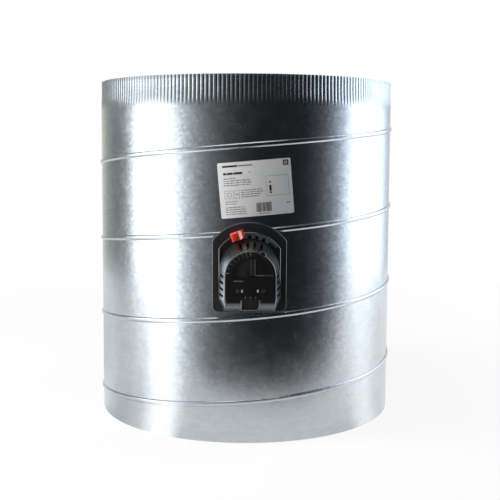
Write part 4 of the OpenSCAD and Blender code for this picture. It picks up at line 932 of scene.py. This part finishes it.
# The studio's walls by azimuth, 0 in front of the duct and 90 to its right: tone, and its share above the ring's rim
WALL_TONES = [(-165, 1.10, 0.5), (-152, 0.90, 0.5), (-136, 0.50, 0.8), (-118, 0.24, 1.4), (-104, 0.16, 2.2),
              (-97, 0.40, 1.2), (-91, 1.6, 0.65), (-86, 3.4, 0.42), (-61, 3.4, 0.38), (-54, 2.3, 0.35),
              (-47, 1.0, 0.35), (-39, 0.48, 0.4), (-30, 0.21, 0.6), (-21, 0.10, 0.9), (-8, 0.035, 1), (6, 0.012, 1),
              (40, 0.010, 0.8), (53, 0.05, 0.5), (63, 0.20, 0.6), (71, 0.56, 0.8), (77, 1.3, 0.9), (83, 2.5, 0.9),
              (88, 2.8, 0.8), (120, 2.3, 0.6), (129, 1.2, 0.8), (138, 0.7, 0.8), (150, 0.62, 0.8)]

# What the soft boxes add to the floor's glow in gloss: a place in m, an azimuth and a strength
FLOOR_STRIPS = [(-0.044, -0.140, -66, 1.1), (-0.044, -0.140, -106, -0.28), (0.091, -0.142, 101, 0.5)]


def bare_material(name):
    """A material and its empty node tree."""
    mat = bpy.data.materials.new(name)
    mat.use_nodes = True
    mat.node_tree.nodes.clear()
    return mat, mat.node_tree


def even_glow(name, strength):
    """A pale glow of one strength."""
    mat, tree = bare_material(name)
    glow = add(tree, "Emission", {"Color": (0.95, 0.98, 1.0, 1), "Strength": strength})
    tree.links.new(glow.outputs[0], add(tree, "OutputMaterial").inputs[0])
    return mat


def wall_glow():
    """The walls' tone as steps of azimuth about the duct's axis, blended between them: one row of steps for the
    lower walls and one for the walls above half a metre."""
    mat, tree = bare_material("studio_wall")
    split = add(tree, "SeparateXYZ", {0: add(tree, "TexCoord").outputs["Object"]})
    turn = math_node(tree, "ARCTAN2", split.outputs[0], math_node(tree, "MULTIPLY", split.outputs[1], -1.0))
    share = span(tree, turn, -np.pi, np.pi, 0.0, 1.0)
    rows = []
    for high in (False, True):
        ramp = add(tree, "ValToRGB", {0: share})
        stops = ramp.color_ramp.elements
        for k, (azimuth, tone, above) in enumerate(WALL_TONES):
            at = azimuth / 360 + 0.5
            stop = stops[k] if k < 2 else stops.new(at)
            stop.position = at
            # warm light behind on the left, cool light on the right
            warm = 0.06 if azimuth < -130 else -0.05 if 0 < azimuth < 130 else 0.0
            glow = tone * (above if high else 1)
            stop.color = ((0.94 + warm) * glow, 0.98 * glow, (1 - 2 * warm) * glow, 1)
        rows.append(ramp.outputs[0])
    tone = add(tree, "Mix", {0: span(tree, split.outputs[2], 0.46, 0.54, 0.0, 1.0), 6: rows[0], 7: rows[1]},
               data_type="RGBA")
    glow = add(tree, "Emission", {"Color": tone.outputs[2], "Strength": 1.0})
    tree.links.new(glow.outputs[0], add(tree, "OutputMaterial").inputs[0])
    return mat


def studio_wall():
    """An open round wall at 1.5 m and a ceiling that only glossy rays see, so that the metal and the plastics have a
    studio to show: two tall soft boxes with dark cloth between them."""
    steps = 120
    turn = np.radians(np.linspace(WALL_TONES[0][0], WALL_TONES[-1][0], steps))
    ring = np.stack([ROOM_R * np.sin(turn), -ROOM_R * np.cos(turn)], -1)
    wall = put_mesh("studio_wall", np.concatenate([at_height(ring, z) for z in (-2500, 2500)]), grid_faces(2, steps))
    wall.data.materials.append(wall_glow())
    ceiling = put_mesh("studio_ceiling", [(-1600, -1600, 2400), (1600, -1600, 2400), (1600, 900, 2400),
                                          (-1600, 900, 2400)], [[3, 2, 1, 0]])
    ceiling.data.materials.append(even_glow("studio_ceiling", 0.20))
    for part in (wall, ceiling):
        part.visible_camera = False
        part.visible_diffuse = False
        part.visible_transmission = False
        part.visible_shadow = False


def azimuth_about(tree, place, x, y):
    """Azimuth of a floor point about a place, 0 towards the front and positive to the right."""
    return math_node(tree, "ARCTAN2", math_node(tree, "SUBTRACT", place.outputs[0], x),
                     math_node(tree, "SUBTRACT", y, place.outputs[1]))


def ray_share(tree, share):
    """A share for the rays of the camera, of gloss and of glass, and 0 for the others."""
    path = add(tree, "LightPath")
    seen = math_node(tree, "MAXIMUM", path.outputs["Is Camera Ray"], path.outputs["Is Glossy Ray"])
    seen = math_node(tree, "MAXIMUM", seen, path.outputs["Is Transmission Ray"])
    return math_node(tree, "MULTIPLY", seen, share)


def white_world():
    """A world that is white to look at and a soft low light for the rest."""
    world = bpy.data.worlds.new("studio")
    bpy.context.scene.world = world
    world.use_nodes = True
    tree = world.node_tree
    tree.nodes.clear()
    soft = add(tree, "Background", {"Color": (0.93, 0.96, 1.0, 1), "Strength": 0.10})
    white = add(tree, "Background", {"Color": (1, 1, 1, 1), "Strength": 1.0})
    mix = add(tree, "MixShader", {0: ray_share(tree, 1.0), 1: soft.outputs[0], 2: white.outputs[0]})
    tree.links.new(mix.outputs[0], add(tree, "OutputWorld").inputs[0])


def gloss_glow(tree, place, far):
    """The floor's glow as the metal shows it. It is lower in front of the duct and close behind it on its left, has
    the soft boxes' strips, and is almost nothing on a dark card in front, whose edge is given by x in metres."""
    turn = azimuth_about(tree, place, 0, 0)
    behind = math_node(tree, "SUBTRACT", 1.0, span(tree, turn, -2.2, -1.7, 0.0, 1.0))
    near = span(tree, far, 0.35, 1.2, -0.28, 0.0)
    in_front = span(tree, math_node(tree, "ABSOLUTE", turn), 0.6, 1.4, 0.84, 1.0)
    glow = math_node(tree, "ADD", in_front, math_node(tree, "MULTIPLY", behind, near))
    for x, y, middle, boost in FLOOR_STRIPS:
        off = math_node(tree, "SUBTRACT", azimuth_about(tree, place, x, y), np.radians(middle))
        glow = math_node(tree, "ADD", glow, span(tree, math_node(tree, "ABSOLUTE", off), 0.10, 0.36, boost, 0.0))
    edge = span(tree, place.outputs[0], -0.05, 0.20, -0.46, -0.362)
    for from_x, to_x, rise in ((0.20, 0.45, 0.03), (0.60, 1.40, -0.12)):
        edge = math_node(tree, "ADD", edge, span(tree, place.outputs[0], from_x, to_x, 0.0, rise))
    past = math_node(tree, "SUBTRACT", place.outputs[1], edge)
    return math_node(tree, "MULTIPLY", glow, span(tree, past, -0.04, 0.06, 0.08, 1.0))


def pale_floor():
    """A pale floor that keeps the duct's shadow close by and turns to plain white further away. It lies a hair below
    the rim."""
    floor = put_mesh("floor", [(-2600, -445, 0), (2600, -445, 0), (2600, 2600, 0), (-2600, 2600, 0)], [[0, 1, 2, 3]])
    floor.location.z = -0.0002
    mat, tree = bare_material("pale_floor")
    spot = add(tree, "TexCoord").outputs["Object"]
    place = add(tree, "SeparateXYZ", {0: spot})
    far = add(tree, "VectorMath", {0: spot}, operation="LENGTH").outputs["Value"]
    camera = add(tree, "LightPath").outputs["Is Camera Ray"]
    strength = add(tree, "Mix", {0: camera, 2: gloss_glow(tree, place, far), 3: 1.0})
    paper = add(tree, "BsdfDiffuse", {"Color": (0.86, 0.86, 0.86, 1)})
    glow = add(tree, "Emission", {"Color": (1, 1, 1, 1), "Strength": strength.outputs[0]})
    white = ray_share(tree, span(tree, far, 0.3, 1.3, 0.86, 1.0))
    mix = add(tree, "MixShader", {0: white, 1: paper.outputs[0], 2: glow.outputs[0]})
    tree.links.new(mix.outputs[0], add(tree, "OutputMaterial").inputs[0])
    floor.data.materials.append(mat)


def soft_box(name, place, target, wide, high, watts):
    """A soft box with its size in millimetres, hung at a place and turned towards a target."""
    lamp = bpy.data.lights.new(name, "AREA")
    lamp.shape = "RECTANGLE"
    lamp.size, lamp.size_y = wide * MM, high * MM
    lamp.energy = watts
    holder = linked(name, lamp)
    holder.visible_camera = False
    holder.location = Vector(place) * MM
    holder.rotation_euler = (Vector(target) - Vector(place)).to_track_quat("-Z", "Y").to_euler()
    return holder


def soft_boxes():
    """A tall soft box on each side, whose gloss the studio's wall gives, and one soft box above."""
    for name, azimuth, wide, watts in (("softbox_left", -74, 700, 46), ("softbox_right", 105, 1060, 26)):
        a = np.radians(azimuth)
        place = 1400 * np.sin(a), -1400 * np.cos(a), 420
        soft_box(name, place, (0, 0, 230), wide, 1700, watts).visible_glossy = False
    soft_box("softbox_top", (-250, -900, 1750), (0, 0, 200), 1400, 900, 8)


def photo_camera():
    """The photograph's camera, from a fit of both rims, both sides and the four seams."""
    pitch, yaw, roll, turn = 0.0879, 0.0027, 0.0048, np.radians(-1.43)
    focal_px, frame_px, sensor = 884.1, 500, 36
    c, s = float(np.cos(pitch)), float(np.sin(pitch))
    right, up, ahead = Vector((1, 0, 0)), Vector((0, s, c)), Vector((0, c, -s))
    c, s = float(np.cos(roll)), float(np.sin(roll))
    right, up = c * right + s * up, c * up - s * right
    round_duct = Matrix.Rotation(turn, 3, "Z")
    spin = round_duct @ Matrix.Rotation(-yaw, 3, "Z")
    axes = Matrix([spin @ right, spin @ up, spin @ -ahead]).transposed()
    data = bpy.data.cameras.new("photo_camera")
    data.sensor_width = sensor
    data.lens = focal_px * sensor / frame_px
    data.shift_y = -0.05
    data.clip_start, data.clip_end = 0.05, 20
    holder = linked("photo_camera", data)
    place = round_duct @ Vector((2.80, -1267.9, 364.3))
    holder.matrix_world = Matrix.Translation(place * MM) @ axes.to_4x4()
    bpy.context.scene.camera = holder


photo_camera()
white_world()
pale_floor()
studio_wall()
soft_boxes()
crimped_ring()
seam_ridge()
label_print()
face_marks()
ride_as(rim_copy("mounting_plate", "plate_moulding", plate_rim, 1.3), "duct", "plate_grey", plate_plastic,
        "mounting_plate")
ride_as(rim_copy("actuator_base", "base_moulding", base_rim, 1.7), "duct", "housing_black", base_plastic,
        "actuator_base")
ride_as(hood(), "duct", "housing_black", hood_plastic, "front_cover")
ride_as(range_stop(), "range_stop", "stop_red", red_plastic, "range_stop")
ride_as(pointer(), "blade", "housing_black", hood_plastic, "indicator_pointer")
dial_floor()
stop_scale()
finger_tab()
# Painted highlights on the notch's two side walls: lighter on the left, where the light falls, dimmer on the right.
notch_highlight_strip("notch_highlight_left", -1, notch_highlight_grey)
notch_highlight_strip("notch_highlight_right", 1, scale_grey_and_notch_highlight)
ride_as(rounded_copy("terminal_block", 0.25), "duct", "button_black", button_plastic, "terminal_block")
for k in (1, 2, 3):
    ride_as(rounded_copy(f"release_button_{k}", 0.3), f"button_{k}", "button_black", button_plastic,
            f"release_button_{k}")

bpy.context.scene.view_settings.view_transform = "Standard"
